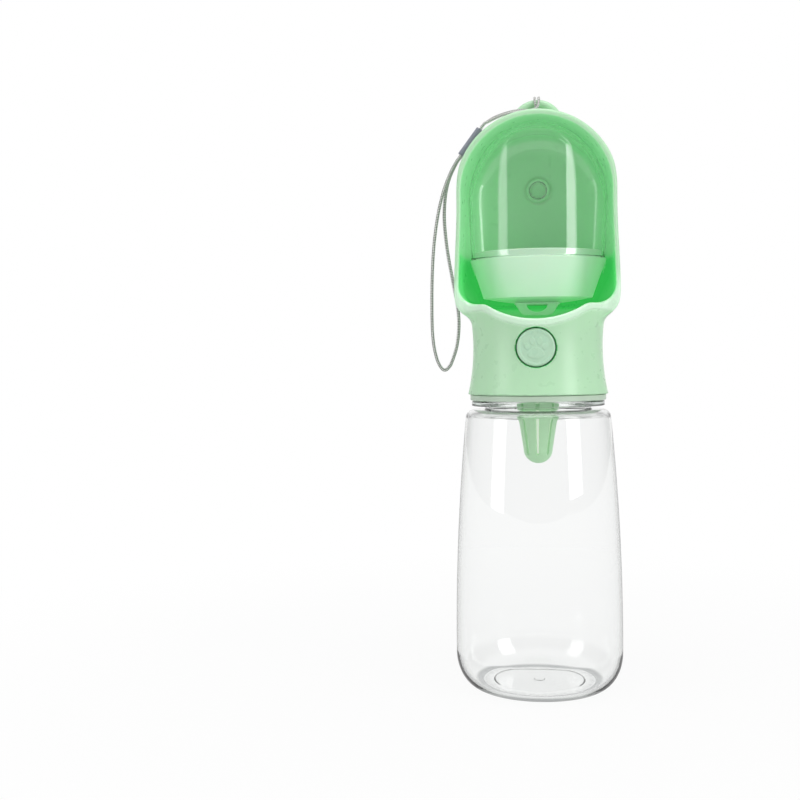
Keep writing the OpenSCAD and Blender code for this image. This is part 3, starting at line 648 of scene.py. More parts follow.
def shell_plastic():
    """Mint shell with painted light: painted shade turns its colour deep green in the hollows and a
    painted glow lights them, both standing in for light passed through the plastic again and again; the
    lip bead gets a painted highlight.
    """
    m = moulded("mint_shell_plastic", srgb(186, 229, 189), 0.98, (0.26, 0.36), 0.000002,
                Subsurface_Weight=0.12, Subsurface_Scale=0.004, Subsurface_Radius=(0.5, 1.0, 0.5))
    hollow_shade = m.attribute("hollow_shade")
    # Painted highlight: the lip bead is given a lighter colour.
    lip = m.mix(m.attribute("lip"), m.colour, srgb(216, 248, 220))
    # Painted shade: deep green in the hollows and on the wall of the button's hole.
    m.set("Base Color", m.mix(m.spread(m.attribute("painted_shade"), 0.22, 0.8), lip, srgb(64, 196, 98)))
    # Painted glow: the hollows give off green light.
    deep = m.spread(hollow_shade, 0.36, 0.72)
    m.set("Emission Color", m.mix(deep, srgb(122, 222, 146), srgb(74, 204, 106)))
    m.set("Emission Strength", m.spread(hollow_shade, 0.1, 0.6, 0.0, 0.34))
    return m


def lid_plastic():
    """Pale lid with painted shade, greener where its belly curves under, and a painted glow standing in
    for the light it lets through.
    """
    m = moulded("pale_lid_plastic", srgb(198, 228, 202), 0.985, (0.3, 0.4),
                Subsurface_Weight=0.1, Subsurface_Scale=0.003)
    height = m.add("SeparateXYZ", Vector=m.coords()).outputs["Z"]
    # Painted shade: greener low on the belly, which faces down.
    under = m.spread(height, *(z * MM for z in LID_SHADE_Z))
    m.set("Base Color", m.mix(under, m.colour, srgb(108, 212, 130)))
    # Painted glow.
    return painted_glow(m, srgb(206, 236, 214), 0.15)


def clear_plastic(name, absorb, density):
    """Clear plastic with faint flow marks, which darkens where it is looked through lengthwise."""
    m = Material(name, Base_Color=WHITE, Transmission_Weight=1.0, IOR=1.5)
    m.set("Roughness", m.spread(m.noise(120, 3), 0.3, 0.7, 0.0, 0.025))
    m.bump(m.noise(45, 2), 0.00002, 0.15)
    m.output("Volume", m.add("VolumeAbsorption", Color=absorb, Density=density).outputs["Volume"])
    pass_light(m)
    return m


def pass_light(m):
    """Lets light that only passes through go straight on, so what stands behind isn't in shadow."""
    clear = m.add("BsdfTransparent", Color=(0.96, 0.97, 0.96, 1.0))
    passing = m.maths("MAXIMUM", m.ray("Shadow"), m.ray("Diffuse"))
    m.output("Surface", m.mix_shaders(passing, m.shader.outputs["BSDF"], clear.outputs["BSDF"]))


def bottle_plastic():
    """Clear bottle, with painted shade: a grey line round its foot and a faint grey in the recess under
    it.
    """
    m = clear_plastic("bottle_clear_plastic", (0.62, 0.7, 0.66, 1.0), 40)
    m.set("Base Color", m.mix(m.attribute("foot"), WHITE, srgb(122, 124, 126)))
    return m


def painted_glow(m, colour, strength):
    """Adds a painted glow: emission that stands in for the little light a thin piece lets through from
    behind.
    """
    m.set("Emission Color", colour)
    m.set("Emission Strength", strength)
    return m


def brushed_steel():
    m = Material("brushed_steel", Metallic=1.0, Anisotropic=0.4)
    stretched = m.add("Mapping", Vector=m.coords(), Scale=(4000, 300, 4000))
    lines = m.noise(1, 3, 0.6, stretched.outputs["Vector"])
    m.set("Base Color", m.mix(m.spread(lines, 0.3, 0.7), srgb(190, 192, 195), srgb(214, 215, 217)))
    m.set("Roughness", m.spread(lines, 0.3, 0.7, 0.22, 0.4))
    m.bump(lines, 0.00001, 0.4)
    return m


def felt():
    m = Material("filter_felt", Roughness=0.95, Sheen_Weight=0.4)
    fibres = m.noise(900, 6, 0.75)
    m.set("Base Color", m.mix(m.spread(fibres, 0.3, 0.7), srgb(214, 218, 206), srgb(244, 245, 238)))
    m.bump(fibres, 0.0003, 0.8)
    # Painted glow, which keeps the felt bright in the shade of the head.
    return painted_glow(m, srgb(240, 240, 236), 0.45)


def braid(name, light, dark):
    """Braided yarn: strands cross in diamonds, with painted shade darkening the gaps between them, and
    fine fibres.
    """
    m = Material(name, Roughness=0.75, Sheen_Weight=0.3)
    uv = m.add("UVMap")
    uv.uv_map = "braid"
    place = m.add("SeparateXYZ", Vector=uv.outputs["UV"])
    around = m.maths("MULTIPLY", place.outputs["X"], 2 * math.pi * BRAID_STRANDS)
    along = m.maths("MULTIPLY", place.outputs["Y"], 2 * math.pi / BRAID_PITCH)
    first = m.maths("COSINE", m.maths("ADD", around, along))
    second = m.maths("COSINE", m.maths("SUBTRACT", around, along))
    strand = m.spread(m.maths("MULTIPLY", first, second), -0.4, 0.3)
    fibres = m.spread(m.noise(3000, 4, 0.7), 0.3, 0.7, -0.25, 0.25)
    height = m.maths("ADD", strand, fibres)
    # Painted shade: the lower the relief, the darker the yarn.
    m.set("Base Color", m.mix(height, dark, light))
    m.bump(height, 0.0002, 0.7)
    return m


WHITE = (1.0, 1.0, 1.0, 1.0)
SHELL = shell_plastic().material
BUTTON = moulded("mint_button_plastic", srgb(186, 224, 194), 0.96, (0.24, 0.34),
                 Subsurface_Weight=0.05, Subsurface_Scale=0.002).material
CAP = moulded("grey_green_plastic", srgb(196, 216, 196), 0.95, (0.3, 0.42)).material
LID = lid_plastic().material
TAB = moulded("clear_tab_plastic", srgb(172, 236, 184), 0.94, (0.3, 0.42),
              Transmission_Weight=0.45, IOR=1.45).material
# The filter gets a painted glow, so it stays light in the shade of the head.
FILTER = painted_glow(moulded("filter_plastic", srgb(192, 234, 192), 0.94, (0.3, 0.45),
                         Transmission_Weight=0.12, IOR=1.45), srgb(170, 218, 172), 0.1).material
NATURAL = moulded("natural_plastic", srgb(226, 234, 224), 0.94, (0.4, 0.55)).material
SEAL_CLEAR = clear_plastic("clear_seal", (0.9, 1.0, 0.93, 1.0), 5).material
SILICONE = moulded("white_silicone", srgb(236, 238, 234), 0.85, (0.45, 0.6), 0.00004).material
DARK_RUBBER = moulded("dark_rubber", srgb(62, 62, 65), 0.85, (0.5, 0.65), 0.00004).material
STEEL = brushed_steel().material
FELT = felt().material
CORD = braid("grey_braid", srgb(250, 250, 247), srgb(88, 92, 88)).material
FERRULE = moulded("grey_ferrule_plastic", srgb(134, 138, 150), 0.9, (0.3, 0.42)).material
BOTTLE_CLEAR = bottle_plastic().material
CUP_CLEAR = clear_plastic("cup_clear_plastic", (0.55, 0.85, 0.65, 1.0), 18).material


# ---------------------------------------------------------------- camera
FOCAL_PX = 1182.0
IMAGE_PX = 800.0
CAMERA_H = 0.1460
CAMERA_D = 0.5306
AZIMUTH = math.radians(1.418)
PITCH = math.radians(1.866)
YAW = math.radians(6.658)
ROLL = math.radians(-0.557)


def make_camera():
    data = bpy.data.cameras.new("camera")
    data.sensor_width = 36.0
    data.lens = 36.0 * FOCAL_PX / IMAGE_PX
    camera = bpy.data.objects.new("camera", data)
    bpy.context.scene.collection.objects.link(camera)
    place = (CAMERA_D * math.sin(AZIMUTH), -CAMERA_D * math.cos(AZIMUTH), CAMERA_H)
    camera.matrix_world = (
        Matrix.Translation(place)
        @ Matrix.Rotation(YAW + AZIMUTH, 4, "Z")
        @ Matrix.Rotation(math.pi / 2 - PITCH, 4, "X")
        @ Matrix.Rotation(ROLL, 4, "Z")
    )
    bpy.context.scene.camera = camera


make_camera()


# ---------------------------------------------------------------- lanyard
def make_ferrule():
    low, high = np.array(FERRULE_LOW), np.array(FERRULE_HIGH)
    length = float(np.linalg.norm(high - low))
    outline = rounded([(0, 0), (FERRULE_R, 0, 0.35), (FERRULE_R, length, 0.35), (0, length)])
    verts, faces = revolve(outline, even_angles(48), closed=False)
    turn = Vector((high - low) / length).to_track_quat("Z", "Y").to_matrix()
    placed = [tuple(turn @ Vector(v) + Vector(low)) for v in verts]
    obj = add_mesh("lanyard_ferrule_tube", placed, faces, "head", FERRULE, "grey_ferrule",
                   "lanyard_ferrule")
    return weighted_normals(obj)


def make_lanyard():
    ferrule = make_ferrule()
    for name, route, radius, replaced in (
        ("lanyard_string_braid", STRING_ROUTE, STRING_R, "lanyard_string"),
        ("wrist_loop_braid", LOOP_ROUTE, CORD_R, "wrist_loop"),
    ):
        cord, path, length = braided_tube(name, route, radius, replaced)


make_lanyard()


# ---------------------------------------------------------------- bottle
def wall_r(z):
    return BOTTLE_R - (z - BELLY_Z) ** 2 / (2 * TAPER_ARC_R)


def bottle_outline():
    round_z = SHOULDER_Z - SHOULDER_ROUND
    shoulder_r = wall_r(round_z) - SHOULDER_ROUND
    base_r = BOTTLE_R - BASE_ROUND[0]
    outer = [(base_r + BASE_ROUND[0] * math.sin(a), BASE_ROUND[1] * (1 - math.cos(a)))
             for a in np.linspace(0, math.pi / 2, 28)]
    belly = BASE_ROUND[1]
    outer += [(wall_r(z) if z > BELLY_Z else BOTTLE_R, z) for z in np.linspace(belly + 2, round_z, 48)]
    outer += [(shoulder_r + SHOULDER_ROUND * math.cos(a), round_z + SHOULDER_ROUND * math.sin(a))
              for a in np.linspace(0.1, math.pi / 2, 12)]
    finish = rounded([
        (shoulder_r - 1, SHOULDER_Z), (NECK_R, SHOULDER_Z, 0.5), (NECK_R, FLANGE_Z, 0.4),
        (FLANGE_R, FLANGE_Z, 0.5), (FLANGE_R, FLANGE_TOP, 0.5), (NECK_R, FLANGE_TOP, 0.4),
        (NECK_R, MOUTH_Z, 0.6), (MOUTH_R, MOUTH_Z, 0.6), (MOUTH_R, MOUTH_Z - 4),
    ], 5)
    in_round = SHOULDER_ROUND - BOTTLE_WALL / 2
    in_top = SHOULDER_Z - BOTTLE_WALL
    in_round_z = in_top - in_round
    in_shoulder_r = wall_r(in_round_z) - BOTTLE_WALL - in_round
    inner = rounded([
        (MOUTH_R, MOUTH_Z - 5), (MOUTH_R, in_top, 1.0), (in_shoulder_r - 0.5, in_top),
    ], 6)[1:]
    inner += [(in_shoulder_r + in_round * math.cos(a), in_round_z + in_round * math.sin(a))
              for a in np.linspace(math.pi / 2, 0.1, 12)]
    in_w = BASE_ROUND[0] - BOTTLE_WALL
    in_h = BASE_ROUND[1] - BASE_T / 2
    inner += [(wall_r(max(z, BELLY_Z)) - BOTTLE_WALL, z)
              for z in np.linspace(in_round_z, BASE_T + in_h + 2, 48)]
    inner += [(base_r + in_w * math.sin(a), BASE_T + in_h * (1 - math.cos(a)))
              for a in np.linspace(math.pi / 2, 0, 28)]
    inner += [(r, BASE_T) for r in (18.0, 10.0, 4.0)] + [(0, BASE_T)]
    punt = rounded([
        (0, PUNT_DEPTH / 2), (2.2, PUNT_DEPTH / 2, 0.1), (2.5, PUNT_DEPTH, 0.1),
        (PUNT_R, PUNT_DEPTH, 0.3), (PUNT_R + PUNT_DEPTH, 0, 0.3), (base_r - 1, 0),
    ], 4)
    return punt + outer + finish + inner


def make_bottle():
    shell = revolve(bottle_outline(), even_angles(192), closed=False)
    ridge = thread_ridge(NECK_R - 0.4, NECK_R + THREAD_H, FLANGE_TOP + THREAD_LIFT, 1.25, 0)
    obj = add_mesh("clear_bottle", *merge(shell, ridge), "bottle", BOTTLE_CLEAR, "clear_bottle",
                   "bottle_body")
    x, y, z = np.array([v.co[:] for v in obj.data.vertices]).T / MM
    r = np.hypot(x, y)
    # Painted shade: a grey line round the foot and a faint grey in the recess under it.
    line = step(FOOT_LINE, 0.4, z) * step(PUNT_R + 1.5, PUNT_R + 3, r)
    recess = 0.3 * step(PUNT_R + 0.5, PUNT_R - 0.5, r) * (z < 1)
    point_values(obj, "foot", np.maximum(line, recess))
    weighted_normals(obj)


make_bottle()


# ---------------------------------------------------------------- head shell
def lip_height(x):
    """Top of the lip across the front: a dip that ends in the level corners."""
    ax = np.minimum(np.abs(x), DIP_R - 0.5)
    dip = LIP_Z + DIP_R - np.sqrt(DIP_R**2 - ax**2)
    return smin(dip, CORNER_Z + 0 * dip, 1.6)


def head_field(x, y, z):
    """Distance to the shell: collar, hood and lug, less the trough, the bore and the holes."""
    ax = np.abs(x)
    r = np.hypot(x, y)
    dz = np.clip(z - WAIST_Z, -60, 60)
    waist = WAIST_R + COLLAR_ARC_R - np.sqrt(COLLAR_ARC_R**2 - dz**2)
    drop = lip_height(x) - z
    bead = LIP_BEAD[0] * step(LIP_BEAD[1] + 0.3, LIP_BEAD[1] - 0.5, drop)
    collar = smax(r - waist - bead, -drop, LIP_ROUND)
    collar = smax(collar, COLLAR_Z - z, 0.5)
    rho = np.where(z > ARCH_Z, np.hypot(x, z - ARCH_Z), ax)
    flare = HOOD_FLARE * step(*FLARE_Z, z)
    back_corner = corner2(rho - HOOD_R - flare, y - HOOD_BACK_Y, HOOD_BACK_ROUND)
    lower_corner = corner2(ax - HOOD_R - flare, HOOD_Z - z, HOOD_CORNER)
    hood = smax(back_corner, lower_corner, HOOD_BLEND)
    hood = smax(hood, HOOD_FRONT_Y - y, HOOD_EDGE)
    ring = np.hypot(np.hypot(x, z - LUG_Z) - LUG_RING_R, y - LUG_Y) - LUG_R
    ring = np.maximum(ring, LUG_Z - 4 - z)
    solid = smin(smin(collar, hood, HOOD_BLEND), ring, 1.5)
    inner_back = corner2(rho - HOOD_R + HOOD_WALL - flare, y - HOOD_BACK_Y + HOOD_WALL,
                         HOOD_BACK_ROUND - HOOD_WALL)
    inner_foot = corner2(ax - HOOD_R + HOOD_WALL - flare, CORNER_Z - z, INNER_CORNER)
    hollow = np.maximum(inner_back, inner_foot)
    bowl = np.maximum(corner2(r - BOWL_R, FLOOR_Z - z, 1.2), z - CORNER_Z - 2)
    solid = smax(solid, -smin(hollow, bowl, 0.8), LIP_ROUND)
    bore = np.maximum(r - SHELL_BORE_R, z - LEDGE_Z)
    room = np.maximum(r - INSIDE_R, z - FLOOR_UNDER)
    solid = np.maximum(solid, -np.minimum(bore, room))
    outlet = np.maximum(np.hypot(x, y - OUTLET_Y) - OUTLET_R - 0.1, np.abs(z - FLOOR_Z) - 3)
    solid = np.maximum(solid, -outlet)
    hole = np.maximum(np.hypot(x, z - BUTTON_Z) - HOLE_R, y)
    solid = smax(solid, -hole, 0.6)
    stud_axis = np.hypot(x, z - STUD_Z)
    boss = np.maximum(stud_axis - SOCKET_R, np.maximum(SOCKET_FRONT_Y - y, y - HOOD_BACK_Y + 1.5))
    boss = smax(boss, STUD_R + 0.1 - stud_axis, 0.4)
    return np.where(y > 20, smin(solid, boss, 1.6), solid)


def make_head():
    verts, faces = surface_net(head_field, *HEAD_BOX, HEAD_CELL)
    obj = add_mesh("mint_head_shell", verts, faces, "head", SHELL, "mint_shell", "head_shell")
    shade_by_field(obj, head_field, verts)
    # Painted shade for the hollows and the button's hole, and a painted highlight for the lip, stored
    # on the points for the shell's material.
    hollow_shade = hollow_shade_values(verts)
    point_values(obj, "hollow_shade", hollow_shade)
    point_values(obj, "painted_shade", np.maximum(hollow_shade, hole_shade_values(verts)))
    point_values(obj, "lip", lip_highlight_values(verts))


def hole_shade_values(verts):
    """1 on the wall of the button's hole, which is given painted shade."""
    x, y, z = verts.T
    return step(HOLE_R + 0.5, HOLE_R + 0.1, np.hypot(x, z - BUTTON_Z)) * (y < -20)


def lip_highlight_values(verts):
    """1 on the bead along the front lip and on the hood's foot beside it, 0 elsewhere: where the
    painted highlight goes.
    """
    x, y, z = verts.T
    drop = lip_height(x) - z
    outer = step(BOWL_R - 2, BOWL_R + 0.5, np.hypot(x, y))
    front = step(HOOD_FRONT_Y + 3, HOOD_FRONT_Y + 1, y)
    return outer * front * step(LIP_BEAD[1] + 1.2, LIP_BEAD[1] - 0.4, drop) * step(186.0, 174.0, z)


def lid_block(x, y, z):
    """The stored cup's lid as one rough block, which deepens the painted shade of the trough under it.
    """
    narrow = step(LID_TOP, LID_BOTTOM, z)
    side = np.abs(x) - (LID_W - LID_TAPER[0] * narrow)
    depth = np.maximum(CUP_FRONT_Y - y, y - CUP_BACK_Y)
    return np.maximum(np.maximum(side, depth), np.maximum(z - LID_TOP, LID_BOTTOM - z))


def hollow_shade_values(verts):
    """How deep the painted shade is at each point, counted only inside the hood and the trough."""
    def field(x, y, z):
        return np.minimum(head_field(x, y, z), lid_block(x, y, z))
    hollow_shade = shut_in(field, verts)
    x, y, z = verts.T
    rho = np.where(z > ARCH_Z, np.hypot(x, z - ARCH_Z), np.abs(x))
    inside = (rho < HOOD_R + 0.6) & (z > FLOOR_UNDER + 0.8)
    inside &= (y > HOOD_FRONT_Y - 18) & (y < HOOD_BACK_Y - 1)
    in_bowl = np.hypot(x, y) < BOWL_R + 0.6
    inside &= in_bowl | (y > HOOD_FRONT_Y)
    # Painted shade is deeper low in the hood.
    low = 0.45 + 0.55 * step(206.0, 178.0, z)
    g = gradient(head_field, verts)
    out = np.stack([x, np.zeros(len(x)), np.maximum(z - ARCH_Z, 0)], axis=1)
    out /= np.maximum(np.linalg.norm(out, axis=1), 1e-6)[:, None]
    inward = -(g * out).sum(axis=1)
    # Painted shade on the inward face of the rim, turned away from the light, and on the back wall.
    rim = 0.4 * step(-0.1, 0.8, inward) * (rho > BOWL_R) * (z > CORNER_Z)
    back = 0.36 * step(0.2, 0.9, -g[:, 1]) * step(0.0, 10.0, y) * (z > CORNER_Z)
    return np.where(inside, np.maximum(np.maximum(hollow_shade * low, rim), back), 0.0)


make_head()


# ---------------------------------------------------------------- cap insert
def make_cap():
    snap_z, snap = SNAP_RIDGE
    outline = rounded([
        (CAP_BORE_R, RING_Z, 0.2), (RING_R, RING_Z, 0.45), (RING_R, RING_Z + RING_T, 0.3),
        (CAP_R, RING_Z + RING_T, 0.2), (CAP_R, snap_z), (CAP_R + snap, snap_z + 0.4),
        (CAP_R + snap, snap_z + 0.8), (CAP_R, snap_z + 1.2),
        (CAP_R, CAP_TOP, 0.4), (SPIGOT_BORE_R, CAP_TOP, 0.2),
        (SPIGOT_BORE_R, CAP_PLATE_Z - SPIGOT_L, 0.3), (SPIGOT_R, CAP_PLATE_Z - SPIGOT_L, 0.4),
        (SPIGOT_R, CAP_PLATE_Z, 0.5), (CAP_BORE_R, CAP_PLATE_Z, 0.5),
    ], 4)
    ridge = thread_ridge(CAP_BORE_R + 0.4, CAP_BORE_R - THREAD_H, CAP_THREAD_Z, 1.0, 90)
    body = revolve(outline, even_angles(160))
    obj = add_mesh("grey_green_cap", *merge(body, ridge), "head", CAP, "grey_green_cap", "inner_cap")
    weighted_normals(obj)


make_cap()


# ---------------------------------------------------------------- food cup
def cup_outside(x, y, z):
    """The round-fronted plan, narrowed towards the rim, under an arch whose front edge is rounded."""
    slope = (CUP_R - RIM_W) / (CUP_ARCH_Z - RIM_Z)
    rho = np.where(z > CUP_ARCH_Z, np.hypot(x, z - CUP_ARCH_Z), np.abs(x))
    narrow = slope * np.maximum(CUP_ARCH_Z - z, 0)
    front = np.hypot(x, y - CUP_FRONT_Y - CUP_FRONT_R) - CUP_FRONT_R
    edge = 1.2 + CUP_CROWN_EDGE * np.clip((z - CUP_ARCH_Z) / CUP_R, 0, 1)
    return smax(front, corner2(rho + narrow - CUP_R, y - CUP_BACK_Y, CUP_CORNER), edge)


def cup_field(x, y, z):
    outside = cup_outside(x, y, z)
    shell = np.maximum(outside, -(outside + CUP_WALL))
    shell = smax(shell, RIM_Z - z, 0.5)
    stud = np.maximum(np.hypot(x, z - STUD_Z) - STUD_R, np.maximum(STUD_Y[0] - y, y - STUD_Y[1]))
    return smin(shell, stud, 0.4)


def make_cup():
    verts, faces = surface_net(cup_field, *CUP_BOX, CUP_CELL)
    obj = add_mesh("clear_food_cup", verts, faces, "food_cup", CUP_CLEAR, "clear_cup", "food_cup")
    shade_by_field(obj, cup_field, verts)


make_cup()


# ---------------------------------------------------------------- cup lid
def cup_plan(half_w, inset, z, corner):
    """Points of the cup's plan at height z: round front, straight sides, rounded back corners."""
    front_r = CUP_FRONT_R - inset
    middle = CUP_FRONT_Y + CUP_FRONT_R
    corner = min(max(0.5, corner - inset), half_w * 0.9)
    back = CUP_BACK_Y - inset
    reach = math.asin(min(1.0, half_w / front_r))
    half = [(front_r * math.sin(a), middle - front_r * math.cos(a)) for a in np.linspace(0, reach, 48)]
    half += [(half_w - corner + corner * math.cos(a), back - corner + corner * math.sin(a))
             for a in np.linspace(0, math.pi / 2, 24)]
    half.append((0.0, back))
    right = resample(half, PLAN_POINTS // 2)[0]
    ring = np.vstack([right, right[-2:0:-1] * (-1, 1)])
    for _ in range(3):
        ring = (np.roll(ring, 1, axis=0) + 2 * ring + np.roll(ring, -1, axis=0)) / 4
    return [(x, y, z) for x, y in ring]


def make_lid():
    foot_w = LID_W - LID_TAPER[0]
    foot_in = LID_EDGE + LID_TAPER[1]
    foot_z = LID_BOTTOM + LID_BELLY
    rings = [cup_plan(foot_w * t, foot_in + 6.0 * (1 - t), LID_BOTTOM + LID_BELLY * t * t, LID_CORNER)
             for t in np.linspace(0.08, 0.97, 16)]
    wall = rounded([
        (foot_in + 0.1, foot_z - 0.2), (foot_in, foot_z, 0.12), (LID_EDGE, LID_TOP, 0.5),
        (LID_PLUG[0], LID_TOP, 0.2), (LID_PLUG[0], LID_PLUG[1], 0.5),
        (LID_PLUG[0] + LID_WALL, LID_PLUG[1], 0.5), (LID_PLUG[0] + LID_WALL, LID_TOP - 1.5, 0.8),
        (foot_in + LID_WALL, foot_z + 0.5, 1.5), (foot_in + 9.5, LID_BOTTOM + LID_WALL),
    ], 6)
    for inset, z in wall:
        share = (foot_in - inset) / (foot_in - LID_EDGE)
        w = foot_w + share * (LID_W - foot_w)
        if inset > foot_in:
            w = foot_w - 2 * (inset - foot_in)
        corner = LID_CORNER + min(1.0, max(0.0, share)) * (CUP_CORNER - LID_CORNER)
        if z > LID_TOP - 1.2 and inset > LID_EDGE + 1.5:
            w = RIM_W - inset
            corner = CUP_CORNER
        rings.append(cup_plan(w, inset, z, corner))
    obj = add_mesh("pale_cup_lid", *loft(rings), "cup_lid", LID, "pale_lid", "cup_lid")
    weighted_normals(obj)


make_lid()


# ---------------------------------------------------------------- pull tab
def make_tab():
    """A plate on the lid's underside whose turned-down edge has a half-round finger hole."""
    steps = 40
    hole_top = LID_BOTTOM - TAB_BAR_H
    top_half, foot_half = TAB_W / 2, TAB_FOOT_W / 2
    side = rounded([
        (-top_half, LID_BOTTOM), (-foot_half, TAB_FOOT_Z, TAB_ROUND),
        (foot_half, TAB_FOOT_Z, TAB_ROUND), (top_half, LID_BOTTOM),
    ], 12)
    outer = resample(side, steps)[0]
    inner = [(TAB_HOLE_HALF * math.cos(a), hole_top + TAB_HOLE_H * math.sin(a))
             for a in np.linspace(math.pi, 2 * math.pi, steps + 1)]
    front, back = TAB_Y, TAB_Y + TAB_T
    verts, faces = [], []
    n = steps + 1
    for y in (front, back):
        verts += [(x, y, z) for x, z in outer] + [(x, y, z) for x, z in inner]
    for k in range(steps):
        faces.append([k, k + 1, n + k + 1, n + k])
        faces.append([2 * n + k, 3 * n + k, 3 * n + k + 1, 2 * n + k + 1])
        faces.append([k, 2 * n + k, 2 * n + k + 1, k + 1])
        faces.append([n + k, n + k + 1, 3 * n + k + 1, 3 * n + k])
    first_top = len(verts)
    for y in (front, back):
        verts += [(-TAB_HOLE_HALF, y, LID_BOTTOM), (TAB_HOLE_HALF, y, LID_BOTTOM)]
    a, b, c, d = first_top, first_top + 1, first_top + 2, first_top + 3
    faces += [
        [0, n, a], [n + steps, steps, b], [n, n + steps, b, a],
        [2 * n, c, 3 * n], [3 * n + steps, d, 2 * n + steps], [3 * n, c, d, 3 * n + steps],
        [n, 3 * n, 3 * n + steps, n + steps],
        [0, a, c, 2 * n], [a, b, d, c], [b, steps, 2 * n + steps, d],
    ]
    x0, y0, y1 = top_half, back, TAB_SOLE_BACK_Y
    z0, z1 = LID_BOTTOM - TAB_SOLE_T, LID_BOTTOM
    s = len(verts)
    verts += [(x, y, z) for z in (z0, z1) for x, y in ((-x0, y0), (x0, y0), (x0, y1), (-x0, y1))]
    faces += [[s, s + 3, s + 2, s + 1], [s + 4, s + 5, s + 6, s + 7]]
    faces += [[s + k, s + (k + 1) % 4, s + 4 + (k + 1) % 4, s + 4 + k] for k in range(4)]
    obj = add_mesh("clear_pull_tab", verts, faces, "cup_lid", TAB, "clear_tab", "lid_tab")
    bevelled(obj, 0.3, 3, 40)


make_tab()


# ---------------------------------------------------------------- push button
def paw(x, z):
    """Height of a plain paw print: one rounded pad and four toes."""
    def toe(cx, cz, rx, rz, lean):
        c, s = math.cos(lean), math.sin(lean)
        u, v = (x - cx) * c + (z - cz) * s, -(x - cx) * s + (z - cz) * c
        return 1 - step(0.85, 1.1, np.hypot(u / rx, v / rz))
    pad = 1 - step(0.88, 1.06, np.hypot(x / (3.2 - 0.45 * (z + 1.8)), (z + 2.3) / 2.5))
    toes = [toe(-3.9, 0.5, 1.05, 1.5, 0.5), toe(-1.5, 2.7, 1.1, 1.7, 0.15),
            toe(1.5, 2.7, 1.1, 1.7, -0.15), toe(3.9, 0.5, 1.05, 1.5, -0.5)]
    return np.maximum.reduce([pad, *toes])


def make_button():
    angles = even_angles(128)
    verts, rows = [], []
    add_row(verts, rows, [(0.0, BUTTON_FACE_Y + BUTTON_MIDDLE, BUTTON_Z)], len(angles))
    for k in range(1, round(BUTTON_FLAT_R / BUTTON_STEP) + 1):
        r = BUTTON_STEP * k
        dish = BUTTON_DISH * (1 - step(6.3, 7.1, r))
        flat = [(r * math.cos(a), r * math.sin(a)) for a in angles]
        ring = [(x, BUTTON_FACE_Y + dish - PAW_H * paw(x, z), BUTTON_Z + z) for x, z in flat]
        add_row(verts, rows, ring, len(angles))
    outer = rounded([
        (BUTTON_FLAT_R, BUTTON_FACE_Y), (BUTTON_R - 0.55, BUTTON_FACE_Y, 0.25),
        (BUTTON_R, BUTTON_FACE_Y + 0.6, 0.25), (BUTTON_R, BUTTON_BACK_Y, 0.3),
        (STEM_R, BUTTON_BACK_Y, 0.4), (STEM_R, STEM_END_Y, 0.3), (ROD_R + 0.02, STEM_END_Y),
        (ROD_R + 0.02, STEM_END_Y - ROD_HOLE_L), (0, STEM_END_Y - ROD_HOLE_L),
    ], 4)[1:]
    for r, y in outer:
        turned = angles if r else angles[:1]
        ring = [(r * math.cos(a), y, BUTTON_Z + r * math.sin(a)) for a in turned]
        add_row(verts, rows, ring, len(angles))
    obj = add_mesh("mint_push_button", verts, row_faces(rows), "button", BUTTON, "mint_button",
                   "button_cap")
    weighted_normals(obj)


make_button()


# ---------------------------------------------------------------- button spring
def make_spring():
    steps, sides = 40, 10
    n = SPRING_TURNS * steps
    first = SPRING_Y[0] + SPRING_WIRE + SPRING_GAP
    last = SPRING_Y[1] - SPRING_WIRE - SPRING_GAP
    points = []
    for i in range(n + 1):
        a = 2 * math.pi * i / steps
        rise = min(1.0, max(0.0, (i / steps - 0.5) / (SPRING_TURNS - 1)))
        points.append(np.array((SPRING_R * math.cos(a), first + (last - first) * rise,
                                BUTTON_Z + SPRING_R * math.sin(a))))
    rings = []
    for i, p in enumerate(points):
        t = points[min(i + 1, n)] - points[max(i - 1, 0)]
        t = t / np.linalg.norm(t)
        out = p - np.array((0, p[1], BUTTON_Z))
        out = out - (out @ t) * t
        out /= np.linalg.norm(out)
        side = np.cross(t, out)
        rings.append([p + SPRING_WIRE * (math.cos(a) * out + math.sin(a) * side)
                      for a in even_angles(sides)])
    obj = add_mesh("steel_button_spring", *loft(rings), "button", STEEL, "steel", "button_spring")
    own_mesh(obj)


make_spring()


# ---------------------------------------------------------------- filter
def slot_angles():
    """Angles of the filter wall's columns, with four of them across each slot."""
    pitch = 2 * math.pi / SLOTS
    edge = SLOT_W / 2 / SLOT_MEAN_R
    angles = []
    for s in range(SLOTS):
        middle = s * pitch - math.pi / 2
        angles += [middle + a for a in (-edge, -edge / 3, edge / 3, edge)]
        angles += [middle + edge + (pitch - 2 * edge) * k / 12 for k in range(1, 12)]
    return angles


def in_slot(p, low, high):
    pitch = 2 * math.pi / SLOTS
    off = (math.atan2(p[1], p[0]) + math.pi / 2 + pitch / 2) % pitch - pitch / 2
    return abs(off) * math.hypot(p[0], p[1]) < SLOT_W / 2 and low < p[2] < high


def slotted_wall(name, replaced, outline, wall, slot_low, slot_high):
    """A thin turned wall with upright slots, then thickened inwards."""
    verts, faces = revolve(outline, slot_angles(), closed=False)
    points = np.array(verts)
    keep = [f for f in faces if not in_slot(points[f].mean(axis=0), slot_low, slot_high)]
    obj = add_mesh(name, verts, keep, "filter", FILTER, "green_filter", replaced)
    solid = obj.modifiers.new("wall", "SOLIDIFY")
    solid.thickness = wall * MM
    solid.offset = -1
    bevelled(obj, 0.18, 2, 50)


def basket_r(z):
    low = BASKET_Z + BASKET_END_R
    return BASKET_END_R + (FILTER_R - 0.1 - BASKET_END_R) * (z - low) / (BASKET_TOP - low)


